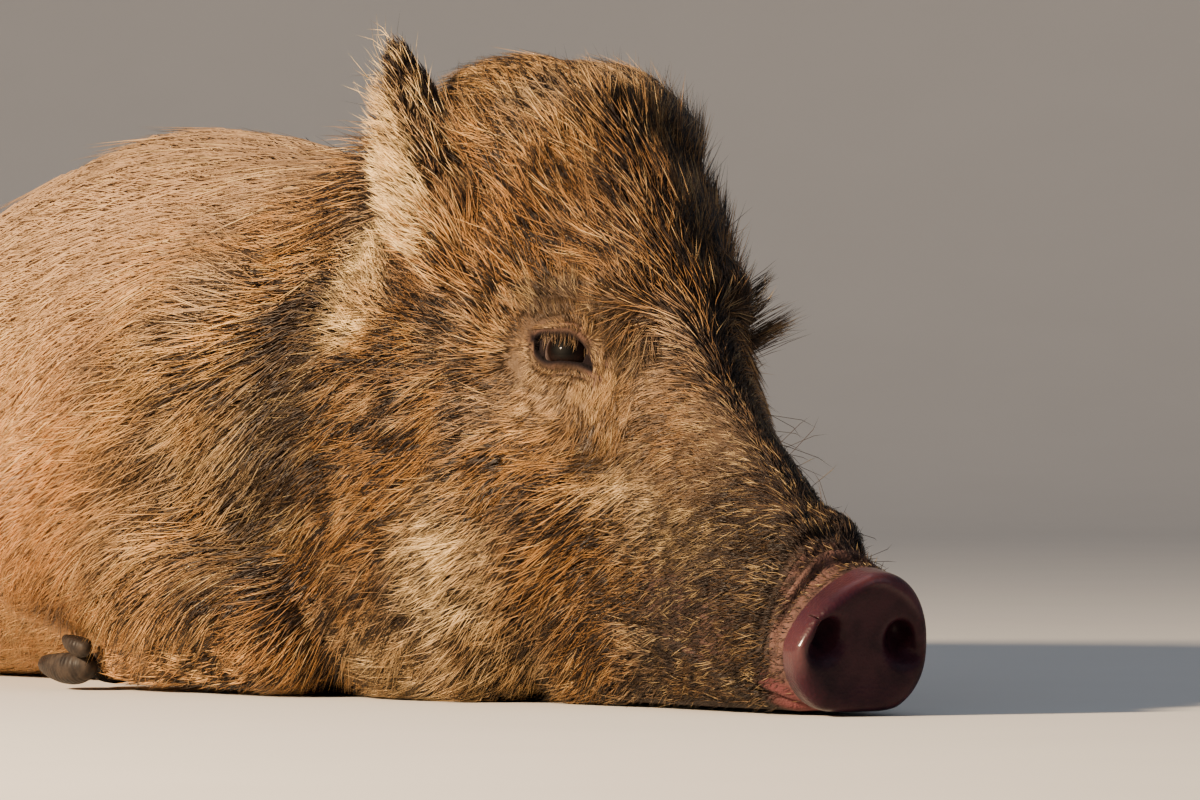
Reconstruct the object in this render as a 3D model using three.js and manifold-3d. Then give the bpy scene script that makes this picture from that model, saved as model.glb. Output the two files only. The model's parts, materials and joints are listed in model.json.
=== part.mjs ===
// A young wild boar sow at rest, life size, as one still model.
// She lies on her breast with her legs folded and her chin and snout on the floor.
// Millimetres. +X runs along the trunk towards the head, +Y to her left, +Z up.
// The flesh and coat are one field, f(p) < 0 inside, whose surface is the outline of the coat.
// Each named piece is that field meshed in its own box, then parted from its neighbours by thin cuts.
import * as THREE from "three";
import { mergeVertices } from "three/addons/utils/BufferGeometryUtils.js";
import Module from "manifold-3d";

const wasm = await Module();
wasm.setup();

// ---------------------------------------------------------------- driving dimensions
const GAP = 0.3; // between neighbouring pieces
const CREST_HEIGHT = 296; // top of the forehead hair, chin on the floor
const WITHERS_HEIGHT = 281; // top of the mane over the shoulders
const SNOUT_X = 258; // face of the snout disc, in the head's frame, ears at 0
const DISC_WIDTH = 70;
const DISC_HEIGHT = 67;
const EYE_RADIUS = 13.5;
const EYE_X = 38; // centre of an eyeball, in the head's frame
const EYE_SIDE = 40;
const EYE_HEIGHT = 162;
const RUMP_X = -806; // hindmost point of the rump
const GIRTH_HALF = 168; // half width of the belly
const HEAD_YAW = THREE.MathUtils.degToRad(-5); // the head turns a little to her right
const HEAD_ROLL = THREE.MathUtils.degToRad(-2.5); // and leans a little to her left
const NAPE = new THREE.Vector3(-70, 0, 30); // where the head turns
const CLAW_LENGTH = 46;
const CLAW_WIDTH = 23;
const CLAW_HEIGHT = 26;

// Cell sizes of the meshed pieces.
const HEAD_CELL = 19;
const TRUNK_CELL = 36;
const LEG_CELL = 25;

// ---------------------------------------------------------------- field helpers
const clamp = THREE.MathUtils.clamp;
const mix = THREE.MathUtils.lerp;
const at = (x, y, z) => new THREE.Vector3(x, y, z);

// A smooth curve v(x) through a few [x, v] points.
function profile(points) {
  const last = points.length - 1;
  const slope = points.map((_, i) => {
    const [x0, v0] = points[Math.max(0, i - 1)];
    const [x1, v1] = points[Math.min(last, i + 1)];
    return (v1 - v0) / (x1 - x0);
  });
  return (x) => {
    if (x <= points[0][0]) return points[0][1];
    if (x >= points[last][0]) return points[last][1];
    let i = 0;
    while (x > points[i + 1][0]) i++;
    const [x0, v0] = points[i];
    const [x1, v1] = points[i + 1];
    const span = x1 - x0;
    const t = (x - x0) / span;
    const ease = t * t * (3 - 2 * t);
    const bend = slope[i] * t * (1 - t) * (1 - t) - slope[i + 1] * t * t * (1 - t);
    return mix(v0, v1, ease) + span * bend;
  };
}

// Joins two fields with a fillet of about k.
function blend(a, b, k) {
  const h = clamp(0.5 + (0.5 * (b - a)) / k, 0, 1);
  return mix(b, a, h) - k * h * (1 - h);
}

// What two fields share, and what is left of a without b, each with an edge rounded by about k.
const meet = (a, b, k) => -blend(-a, -b, k);
const carve = (a, b, k) => meet(a, -b, k);

function ellipsoid(p, cx, cy, cz, rx, ry, rz) {
  const x = (p.x - cx) / rx;
  const y = (p.y - cy) / ry;
  const z = (p.z - cz) / rz;
  const q = Math.hypot(x, y, z);
  const g = Math.hypot(x / rx, y / ry, z / rz);
  return g < 1e-9 ? -Math.min(rx, ry, rz) : (q * (q - 1)) / g;
}

// A limb from a to b whose radius runs from ra to rb.
function limb(p, a, ra, b, rb) {
  const along = b.clone().sub(a);
  const t = clamp(p.clone().sub(a).dot(along) / along.lengthSq(), 0, 1);
  return p.distanceTo(along.multiplyScalar(t).add(a)) - mix(ra, rb, t);
}

// A body of oval sections: top, bottom and half width along x, narrower towards the top by taper.
function sections(p, top, bottom, half, taper, power) {
  const t = top(p.x);
  const b = bottom(p.x);
  const rise = (t - b) / 2;
  const v = (p.z - (t + b) / 2) / rise;
  const w = half(p.x) * (1 - taper * clamp(v, -1, 1));
  const q = (Math.abs(p.y / w) ** power + Math.abs(v) ** power) ** (1 / power);
  return (q - 1) * Math.min(w, rise);
}

const mirrored = (p) => at(p.x, Math.abs(p.y), p.z);

// ---------------------------------------------------------------- head
const headTurn = new THREE.Matrix4()
  .makeTranslation(NAPE)
  .multiply(new THREE.Matrix4().makeRotationZ(HEAD_YAW))
  .multiply(new THREE.Matrix4().makeRotationX(HEAD_ROLL))
  .multiply(new THREE.Matrix4().makeTranslation(NAPE.clone().negate()));
const headBack = headTurn.clone().invert();
const inHead = (p) => p.clone().applyMatrix4(headBack);
const fromHead = (p) => p.clone().applyMatrix4(headTurn);

const faceTop = profile([
  [-130, 262],
  [-70, 287],
  [-25, CREST_HEIGHT],
  [10, 280],
  [42, 240],
  [78, 196],
  [120, 151],
  [160, 120],
  [200, 92],
  [236, 73],
]);
const faceBottom = profile([
  [-130, -10],
  [160, -6],
  [236, 2],
]);
const faceHalf = profile([
  [-130, 99],
  [-60, 89],
  [-10, 74],
  [40, 60],
  [80, 51],
  [120, 43],
  [160, 40],
  [200, 37],
  [236, 34],
]);
const FACE_TAPER = 0.27;
const FACE_POWER = 2.3;

function face(p) {
  let f = sections(p, faceTop, faceBottom, faceHalf, FACE_TAPER, FACE_POWER);
  f = meet(f, p.x - 238, 8);
  f = blend(f, ellipsoid(p, 26, 45, 106, 48, 22, 28), 26); // cheekbone
  f = blend(f, ellipsoid(p, -6, 57, 72, 74, 36, 68), 26); // jowl
  f = blend(f, ellipsoid(p, -50, 70, 48, 72, 44, 56), 30); // ruff behind the cheek
  f = blend(f, ellipsoid(p, 168, 27, 46, 42, 17, 22), 16); // lip over the canine
  f = blend(f, ellipsoid(p, 193, 13, 79, 22, 13, 14), 8); // muscle of the snout
  f = blend(f, ellipsoid(p, 42, 31, 195, 26, 12, 12), 14); // brow
  f = blend(f, ellipsoid(p, -56, 25, 262, 46, 39, 34), 22); // hair of the crown, between the ears
  f = carve(f, ellipsoid(p, 45, 63, 165, 22, 13, 14), 10); // eye hollow
  f = carve(f, ellipsoid(p, 112, 62, 118, 46, 16, 16), 18); // hollow before the cheekbone
  f = carve(f, ellipsoid(p, 222, 46, 50, 14, 13, 30), 9); // waist behind the disc
  return f;
}

// The lower jaw and chin, under the lips.
const chin = (p) => limb(p, at(210, 0, 15), 19, at(60, 0, 34), 52);

function head(worldPoint) {
  const p = mirrored(inHead(worldPoint));
  return Math.max(blend(face(p), chin(p), 18), -130 - p.x);
}

// ---------------------------------------------------------------- trunk
const backLine = profile([
  [RUMP_X, 118],
  [-735, 162],
  [-660, 188],
  [-592, 208],
  [-534, 229],
  [-480, 250],
  [-430, 269],
  [-375, WITHERS_HEIGHT],
  [-320, 278],
  [-260, 270],
  [-180, 263],
  [-20, 262],
]);
const bellyLine = profile([
  [RUMP_X, 16],
  [-700, -8],
  [-20, -8],
]);
const trunkHalf = profile([
  [RUMP_X, 70],
  [-740, 128],
  [-650, 156],
  [-500, GIRTH_HALF],
  [-380, 162],
  [-280, 150],
  [-190, 138],
  [-100, 114],
  [-20, 82],
]);
const TRUNK_TAPER = 0.27;
const TRUNK_POWER = 2.1;

function barrel(p) {
  const f = sections(p, backLine, bellyLine, trunkHalf, TRUNK_TAPER, TRUNK_POWER);
  return Math.max(meet(f, RUMP_X - p.x, 60), p.x + 10);
}

// ---------------------------------------------------------------- legs, given for her left side
const SHOULDER = at(-205, 92, 142);
const ELBOW = at(-276, 140, 78);
const KNEE = at(-122, 116, 35);
const FORE_FETLOCK = at(-222, 136, 17);
const HIP = at(-668, 82, 104);
const STIFLE = at(-560, 148, 80);
const HOCK = at(-728, 146, 42);
const HIND_FETLOCK = at(-626, 176, 21);

function foreleg(p) {
  let f = limb(p, SHOULDER, 64, ELBOW, 48);
  f = blend(f, limb(p, ELBOW, 44, KNEE, 31), 24);
  return blend(f, limb(p, at(KNEE.x, KNEE.y, 22), 21, FORE_FETLOCK, 16), 6);
}

function hindleg(p) {
  let f = limb(p, HIP, 80, STIFLE, 58);
  f = blend(f, limb(p, STIFLE, 54, HOCK, 30), 26);
  return blend(f, limb(p, at(HOCK.x, HOCK.y + 8, 31), 26, HIND_FETLOCK, 19), 12);
}

// ---------------------------------------------------------------- the whole flesh
function flesh(p) {
  const side = mirrored(p);
  let f = blend(barrel(p), head(p), 46);
  f = blend(f, ellipsoid(side, -275, 88, 138, 90, 58, 80), 40); // shoulder blade
  f = blend(f, ellipsoid(side, -690, 66, 128, 76, 48, 46), 40); // haunch bone
  f = blend(f, foreleg(side), 34);
  return blend(f, hindleg(side), 26);
}

// ---------------------------------------------------------------- solids
// Rings of points joined into a closed skin, each end closed by a fan round its middle point.
function skinned(rings) {
  const count = rings[0].length;
  const points = rings.flat();
  const faces = [];
  for (let i = 0; i + 1 < rings.length; i++)
    for (let j = 0; j < count; j++) {
      const a = i * count + j;
      const b = i * count + ((j + 1) % count);
      faces.push(a, b, b + count, a, b + count, a + count);
    }
  for (const [ring, flip] of [[0, true], [rings.length - 1, false]]) {
    const middle = rings[ring].reduce((sum, p) => sum.add(p), at(0, 0, 0)).divideScalar(count);
    points.push(middle);
    for (let j = 0; j < count; j++) {
      const a = ring * count + j;
      const b = ring * count + ((j + 1) % count);
      faces.push(points.length - 1, ...(flip ? [b, a] : [a, b]));
    }
  }
  return solidFrom(points.flatMap((p) => p.toArray()), faces);
}

function solidFrom(vertProperties, triVerts) {
  const mesh = new wasm.Mesh({
    numProp: 3,
    vertProperties: new Float32Array(vertProperties),
    triVerts: new Uint32Array(triVerts),
  });
  return new wasm.Manifold(mesh);
}

// A three.js geometry as a solid.
function solidOf(geometry) {
  const bare = geometry.clone();
  bare.deleteAttribute("normal");
  bare.deleteAttribute("uv");
  const merged = mergeVertices(bare, 1e-4);
  return solidFrom(merged.attributes.position.array, merged.index.array);
}

function geometryOf(solid) {
  const { vertProperties, triVerts } = solid.getMesh();
  const geometry = new THREE.BufferGeometry();
  geometry.setAttribute("position", new THREE.BufferAttribute(vertProperties, 3));
  geometry.setIndex(new THREE.BufferAttribute(triVerts, 1));
  return geometry;
}

// The same solid with its skin pushed out, to cut room for it in a neighbour.
function swollen(solid, by = 2 * GAP) {
  const geometry = geometryOf(solid);
  geometry.computeVertexNormals();
  const out = geometry.attributes.normal.array;
  const moved = geometry.attributes.position.array.map((v, i) => v + out[i] * by);
  return solidFrom(moved, geometry.index.array);
}

// The largest of a solid's separate pieces.
function main(solid) {
  return solid.decompose().reduce((a, b) => (b.volume() > a.volume() ? b : a));
}

// A large block with one face on a plane: all that lies on the side that normal points to.
const REACH = 2400;
function beyond(point, normal) {
  const turn = new THREE.Quaternion().setFromUnitVectors(at(1, 0, 0), normal.clone().normalize());
  const slab = new THREE.BoxGeometry(REACH, REACH, REACH).translate(REACH / 2, 0, 0);
  return solidOf(slab.applyQuaternion(turn).translate(point.x, point.y, point.z));
}

// The block between two corners.
function block(low, high) {
  const size = high.clone().sub(low);
  const middle = high.clone().add(low).multiplyScalar(0.5);
  return solidOf(new THREE.BoxGeometry(...size).translate(...middle));
}

// The two sides of a cut, each half a gap clear of it.
function cut(point, normal) {
  const unit = normal.clone().normalize();
  return {
    ahead: beyond(point.clone().addScaledVector(unit, GAP / 2), unit),
    behind: beyond(point.clone().addScaledVector(unit, -GAP / 2), unit.clone().negate()),
  };
}

// ---------------------------------------------------------------- meshing a field
const CORNERS = [0, 1, 2, 3, 4, 5, 6, 7].map((c) => [c & 1, (c >> 1) & 1, (c >> 2) & 1]);
const EDGES = CORNERS.flatMap((_, a) => [1, 2, 4].filter((bit) => !(a & bit)).map((bit) => [a, a | bit]));

// The field's values at the points of a grid; its outermost points count as outside.
function sampled(field, low, high, cell) {
  const n = high.clone().sub(low).divideScalar(cell).ceil().addScalar(1).toArray();
  const index = (i, j, k) => (i * n[1] + j) * n[2] + k;
  const place = (i, j, k) => at(low.x + i * cell, low.y + j * cell, low.z + k * cell);
  const value = new Float32Array(n[0] * n[1] * n[2]).fill(cell / 2);
  for (let i = 1; i + 1 < n[0]; i++)
    for (let j = 1; j + 1 < n[1]; j++)
      for (let k = 1; k + 1 < n[2]; k++) value[index(i, j, k)] = field(place(i, j, k));
  return { n, index, place, value };
}

// Slides a point along the field's gradient onto the surface, by no more than a third of a cell.
function ontoSurface(field, p, cell) {
  const step = 0.5;
  const value = field(p);
  const gradient = at(
    field(at(p.x + step, p.y, p.z)) - value,
    field(at(p.x, p.y + step, p.z)) - value,
    field(at(p.x, p.y, p.z + step)) - value,
  ).divideScalar(step);
  const steep = Math.max(gradient.lengthSq(), 0.2);
  return p.add(gradient.multiplyScalar(-value / steep).clampLength(0, cell / 3));
}

// One point in a cell that the surface crosses: the middle of its crossed edges.
function cellPoint(corner, cell) {
  const sum = at(0, 0, 0);
  const crossed = EDGES.filter(([a, b]) => corner[a] < 0 !== corner[b] < 0);
  for (const [a, b] of crossed) {
    const t = corner[a] / (corner[a] - corner[b]);
    sum.add(at(...CORNERS[a]).lerp(at(...CORNERS[b]), t));
  }
  return crossed.length ? sum.multiplyScalar(cell / crossed.length) : null;
}

// The surface where the field is zero: a point in each crossed cell, a quad round each crossed edge.
function meshed(field, low, high, cell) {
  const { n, index, place, value } = sampled(field, low, high, cell);
  const points = [];
  const pointOf = new Int32Array(value.length).fill(-1);
  const eachCell = (visit) => {
    for (let i = 0; i + 1 < n[0]; i++)
      for (let j = 0; j + 1 < n[1]; j++) for (let k = 0; k + 1 < n[2]; k++) visit(i, j, k);
  };
  eachCell((i, j, k) => {
    const corner = CORNERS.map(([a, b, c]) => value[index(i + a, j + b, k + c)]);
    const local = cellPoint(corner, cell);
    if (!local) return;
    pointOf[index(i, j, k)] = points.length;
    points.push(ontoSurface(field, local.add(place(i, j, k)), cell));
  });
  const faces = [];
  eachCell((i, j, k) => {
    const inside = value[index(i, j, k)] < 0;
    const ring = (next, ...cells) => {
      if (inside === value[index(i + next[0], j + next[1], k + next[2])] < 0) return;
      const [a, b, c, d] = cells.map(([x, y, z]) => pointOf[index(i - x, j - y, k - z)]);
      faces.push(...(inside ? [a, b, c, a, c, d] : [a, c, b, a, d, c]));
    };
    if (j && k) ring([1, 0, 0], [0, 1, 1], [0, 0, 1], [0, 0, 0], [0, 1, 0]);
    if (i && k) ring([0, 1, 0], [1, 0, 1], [1, 0, 0], [0, 0, 0], [0, 0, 1]);
    if (i && j) ring([0, 0, 1], [1, 1, 0], [0, 1, 0], [0, 0, 0], [1, 0, 0]);
  });
  return solidFrom(points.flatMap((p) => p.toArray()), faces);
}

// ---------------------------------------------------------------- parting the flesh
const sides = [
  ["left", 1],
  ["right", -1],
];
const aboveFloor = beyond(at(0, 0, 0), at(0, 0, 1));
const neckCut = cut(fromHead(at(-62, 0, 130)), at(1, -0.09, 0.1));
const chestCut = cut(at(-185, 0, 130), at(1, 0, 0.12));
const bellyCut = cut(at(-392, 0, 130), at(1, 0, 0));
const rumpCut = cut(at(-585, 0, 130), at(1, 0, 0));
const headFlesh = meshed(flesh, at(-100, -180, -40), at(262, 170, 322), HEAD_CELL);
const trunkFlesh = meshed(flesh, at(-880, -260, -60), at(40, 260, 330), TRUNK_CELL);

// The room that holds a folded leg: outside a leaning wall, under a ceiling, between two stations.
function legRoom(x0, x1, wall, lean, ceiling, side, grow) {
  const outside = beyond(at(0, side * (wall - grow), 0), at(0, side, lean));
  return outside.intersect(block(at(x0 - grow, -400, -60), at(x1 + grow, 400, ceiling + grow)));
}
const foreRoom = (side, grow) => legRoom(-332, -40, 88, -0.36, 112, side, grow);
const hindRoom = (side, grow) => legRoom(-772, -496, 104, -0.4, 138, side, grow);

// ---------------------------------------------------------------- eyes, disc, mouth
function eyeBall(side, radius) {
  const centre = fromHead(at(EYE_X, EYE_SIDE * side, EYE_HEIGHT));
  return solidOf(new THREE.SphereGeometry(radius, 12, 9).translate(...centre));
}

const DISC_DEPTH = 22;
const DISC_TILT = THREE.MathUtils.degToRad(9); // its top stands forward of its foot
const DISC_HEIGHT_ABOVE_FLOOR = 33.5;
const DISC_PEAK = 0.05; // its upper half is this much taller
const DISC_SKEW = 0.2; // and its top edge climbs to her left
const DISC_PROFILE = [
  [0, 0],
  [0.8, 0.02],
  [0.96, 0.18],
  [1, 0.5],
  [0.97, 0.8],
  [0.88, 0.94],
  [0.6, 1.0],
  [0, 1.1],
];

// Sets a geometry made about the disc's middle, facing +X, in its place on the head.
function onDisc(geometry) {
  const turn = new THREE.Matrix4().makeRotationY(DISC_TILT);
  const out = new THREE.Matrix4().makeTranslation(SNOUT_X - DISC_DEPTH, 0, DISC_HEIGHT_ABOVE_FLOOR);
  return solidOf(geometry.applyMatrix4(headTurn.clone().multiply(out).multiply(turn)));
}

function snoutDisc() {
  const outline = DISC_PROFILE.map(([r, x]) => new THREE.Vector2(r, x * DISC_DEPTH));
  const plate = new THREE.LatheGeometry(outline, 22).rotateZ(-Math.PI / 2).rotateX(Math.PI / 2);
  plate.scale(1, DISC_WIDTH / 2, DISC_HEIGHT / 2);
  const position = plate.attributes.position;
  for (let i = 0; i < position.count; i++) {
    const z = position.getZ(i);
    const climb = DISC_PEAK + (DISC_SKEW * position.getY(i)) / (DISC_WIDTH / 2);
    if (z > 0) position.setZ(i, z * (1 + climb));
  }
  let solid = onDisc(plate);
  for (const [, side] of sides) {
    const pit = new THREE.SphereGeometry(1, 12, 8).scale(16, 8, 10.5);
    solid = solid.subtract(onDisc(pit.translate(DISC_DEPTH + 3, side * 17.5, 3)));
  }
  return solid;
}

// The mouth closes on a slant from under the disc to its corner in the cheek.
const MOUTH_FRONT = at(234, 0, 9);
const MOUTH_CORNER = at(112, 0, 36);
function jawRoom(grow) {
  const turn = new THREE.Matrix3().setFromMatrix4(headTurn);
  const slope = MOUTH_CORNER.clone().sub(MOUTH_FRONT);
  const under = at(slope.z, 0, -slope.x).normalize().negate().applyMatrix3(turn);
  const forward = at(1, 0, 0).applyMatrix3(turn);
  const line = beyond(fromHead(MOUTH_FRONT).addScaledVector(under, -grow), under);
  return line.intersect(beyond(fromHead(MOUTH_CORNER).addScaledVector(forward, -grow), forward));
}

// ---------------------------------------------------------------- ears
// Each is a pointed leaf rolled into a cup, given by its root, its tip and the way its hollow looks,
// in the head's frame for her left side. Her right ear is up and turned back; the left lies back.
const EARS = {
  right: { root: at(-16, 67, 212), tip: at(-74, 87, 306), hollow: at(-1, 0.12, 0) },
  left: { root: at(-84, 72, 216), tip: at(-172, 92, 246), hollow: at(-0.3, 0.9, -0.3) },
};
const EAR_HALF_WIDTH = 29;
const EAR_CUP_RADIUS = 31;
const EAR_THICKNESS = 12; // with its hair
const EAR_STATIONS = [-0.22, 0, 0.18, 0.36, 0.54, 0.72, 0.86, 0.95];

function ear({ root, tip, hollow }, side) {
  const length = tip.distanceTo(root);
  const up = tip.clone().sub(root).normalize();
  const face = hollow.clone().addScaledVector(up, -hollow.dot(up)).normalize();
  const across = up.clone().cross(face);
  const rings = EAR_STATIONS.map((t) => {
    const waist = t < 0.18 ? 1 - 0.9 * (0.18 - t) : 1;
    const half = EAR_HALF_WIDTH * waist * Math.sqrt(1 - Math.max(t, 0)) * (1 + 0.35 * Math.max(t, 0));
    const thick = (EAR_THICKNESS / 2) * mix(1.15, 0.75, clamp(t, 0, 1));
    const middle = root.clone().addScaledVector(up, t * length).addScaledVector(face, -6 * t * t);
    const ring = [];
    for (let j = 0; j < 10; j++) {
      const angle = (-side * j * Math.PI) / 5;
      const s = half * Math.cos(angle);
      const cup = EAR_CUP_RADIUS - Math.sqrt(EAR_CUP_RADIUS ** 2 - s * s);
      const p = middle.clone().addScaledVector(across, s);
      p.addScaledVector(face, cup + thick * Math.sin(angle));
      ring.push(fromHead(at(p.x, p.y * side, p.z)));
    }
    return ring;
  });
  return skinned(rings);
}

// ---------------------------------------------------------------- tail
const TAIL_LINE = new THREE.CatmullRomCurve3([
  at(-742, 0, 150),
  at(-786, 2, 138),
  at(-810, 8, 100),
  at(-818, 22, 54),
  at(-810, 46, 20),
  at(-790, 74, 12),
  at(-768, 92, 10),
]);
const tailRadius = profile([
  [0, 16],
  [0.3, 13],
  [0.65, 10],
  [0.85, 12],
  [1, 6],
]);

function tail() {
  const frames = TAIL_LINE.computeFrenetFrames(10);
  const rings = frames.tangents.map((_, i) => {
    const middle = TAIL_LINE.getPointAt(i / 10);
    const radius = tailRadius(i / 10);
    return Array.from({ length: 8 }, (_, j) => {
      const angle = (j * Math.PI) / 4;
      const p = middle.clone().addScaledVector(frames.normals[i], radius * Math.cos(angle));
      return p.addScaledVector(frames.binormals[i], radius * Math.sin(angle));
    });
  });
  return skinned(rings);
}

// ---------------------------------------------------------------- hooves
// A claw along +X from its heel at the origin, with its sole below, narrowing to the toe.
function claw(length, width, height) {
  const geometry = new THREE.SphereGeometry(1, 8, 6).rotateZ(Math.PI / 2);
  const position = geometry.attributes.position;
  for (let i = 0; i < position.count; i++) {
    const along = (position.getX(i) + 1) / 2;
    const y = position.getY(i) * mix(1, 0.6, along * along);
    const z = Math.max(position.getZ(i), -0.6) * mix(1, 0.55, along);
    position.setXYZ(i, along * length, (y * width) / 2, (z * height) / 2);
  }
  return geometry;
}

// Each foot: the heel of its claws, for her left side, the way its toes point and whether its soles
// look up. The forefeet are folded back under the elbows; the hind feet stand flat, toes forward.
const FEET = {
  fore: { heel: at(-228, 139, 12), heading: Math.PI - 0.08, upturned: true },
  hind: { heel: at(-618, 177, 12), heading: 0.1, upturned: false },
};

function footClaws({ heel, heading, upturned }, side) {
  const set = (geometry, back, aside, lift, pitch) => {
    if (upturned) geometry.rotateX(Math.PI);
    geometry.rotateY(pitch).translate(-back, aside, lift);
    geometry.rotateZ(heading).translate(...heel);
    const position = geometry.attributes.position;
    if (side > 0) return solidOf(geometry).intersect(aboveFloor);
    for (let i = 0; i < position.count; i++) position.setY(i, -position.getY(i));
    const turned = geometry.index.array;
    for (let i = 0; i < turned.length; i += 3) [turned[i], turned[i + 1]] = [turned[i + 1], turned[i]];
    return solidOf(geometry).intersect(aboveFloor);
  };
  const flip = upturned ? -1 : 1;
  const toe = () => claw(CLAW_LENGTH, CLAW_WIDTH, CLAW_HEIGHT);
  const dew = () => claw(CLAW_LENGTH * 0.5, CLAW_WIDTH * 0.6, CLAW_HEIGHT * 0.6);
  const out = upturned ? -1 : 1;
  return {
    claw_outer: set(toe(), 0, 12.4 * out, upturned ? 0 : -2, 0),
    claw_inner: set(toe(), 0, -12.4 * out, upturned ? 0 : -2, 0),
    dewclaw_outer: set(dew(), upturned ? 6 : 27, 19 * out, upturned ? 8 : 0, 0.25 * flip),
    dewclaw_inner: set(dew(), upturned ? 6 : 27, -19 * out, upturned ? 8 : 0, 0.25 * flip),
  };
}

// ---------------------------------------------------------------- the model
const boar = new THREE.Group();
const FINISH = {
  coat: { color: 0x8a6a48, roughness: 0.9 },
  face: { color: 0x7b6146, roughness: 0.9 },
  snout: { color: 0x4a343a, roughness: 0.45 },
  eye: { color: 0x1c120d, roughness: 0.12 },
  hoof: { color: 0x2b2622, roughness: 0.55 },
};

function add(name, solid, finish) {
  const material = new THREE.MeshStandardMaterial({ metalness: 0, ...FINISH[finish] });
  const mesh = new THREE.Mesh(geometryOf(main(solid)), material);
  mesh.name = name;
  boar.add(mesh);
}

// Adds the hooves and returns the room they need in the flesh.
function addHooves() {
  const rooms = [];
  for (const [foot, shape] of Object.entries(FEET))
    for (const [name, side] of sides)
      for (const [part, solid] of Object.entries(footClaws(shape, side))) {
        add(foot + "_" + part + "_" + name, solid, "hoof");
        rooms.push(swollen(solid));
      }
  return wasm.Manifold.union(rooms);
}

function addHead(hoofRoom) {
  const discSolid = snoutDisc();
  add("snout_disc", discSolid.intersect(aboveFloor), "snout");
  let skull = headFlesh.intersect(neckCut.ahead).intersect(aboveFloor);
  skull = skull.subtract(swollen(discSolid)).subtract(hoofRoom);
  for (const [name, side] of sides) {
    skull = skull.subtract(eyeBall(side, EYE_RADIUS + GAP));
    add("eye_" + name, eyeBall(side, EYE_RADIUS), "eye");
  }
  add("head", skull.subtract(jawRoom(GAP)), "face");
  add("lower_jaw", skull.intersect(jawRoom(0)), "face");
}

function addTrunk(hoofRoom) {
  let body = trunkFlesh.intersect(aboveFloor).subtract(hoofRoom);
  for (const [, side] of sides)
    body = body.subtract(foreRoom(side, GAP)).subtract(hindRoom(side, GAP));
  add("neck", body.intersect(neckCut.behind).intersect(chestCut.ahead), "coat");
  add("chest", body.intersect(chestCut.behind).intersect(bellyCut.ahead), "coat");
  add("belly", body.intersect(bellyCut.behind).intersect(rumpCut.ahead), "coat");
  add("rump", body.intersect(rumpCut.behind), "coat");
  add("tail", tail().subtract(swollen(trunkFlesh)).intersect(aboveFloor), "coat");
}

function addEars() {
  const room = swollen(headFlesh).add(swollen(trunkFlesh));
  for (const [name, side] of sides) add("ear_" + name, ear(EARS[name], side).subtract(room), "coat");
}

function addLegs(hoofRoom) {
  for (const [name, side] of sides) {
    const mass = (x0, x1, height) => {
      const [y0, y1] = side > 0 ? [20, 260] : [-260, -20];
      return meshed(flesh, at(x0, y0, -50), at(x1, y1, height), LEG_CELL).intersect(aboveFloor);
    };
    const fore = mass(-370, 10, 190).intersect(foreRoom(side, 0)).intersect(neckCut.behind);
    add("foreleg_" + name, fore.subtract(hoofRoom), "coat");
    const hind = mass(-810, -460, 220).intersect(hindRoom(side, 0));
    add("hindleg_" + name, hind.subtract(hoofRoom), "coat");
  }
}

const hoofRoom = addHooves();
addHead(hoofRoom);
addTrunk(hoofRoom);
addEars();
addLegs(hoofRoom);

// The part's frame: the middle of the footprint, on the floor.
const bounds = new THREE.Box3().setFromObject(boar);
const centre = bounds.getCenter(at(0, 0, 0));
boar.position.set(-centre.x, -centre.y, -bounds.min.z);

export default boar;
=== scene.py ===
"""A young wild boar at rest, life size: one skin, with eyes, hooves and a coat of bristles over it.

The skin is the zero surface of a shape field, the same one that the solids of the frame follow, sunk by
the depth of the coat. Lengths in the field are millimetres. +X runs towards the snout, +Y to her left.
"""

import json
import math

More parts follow.
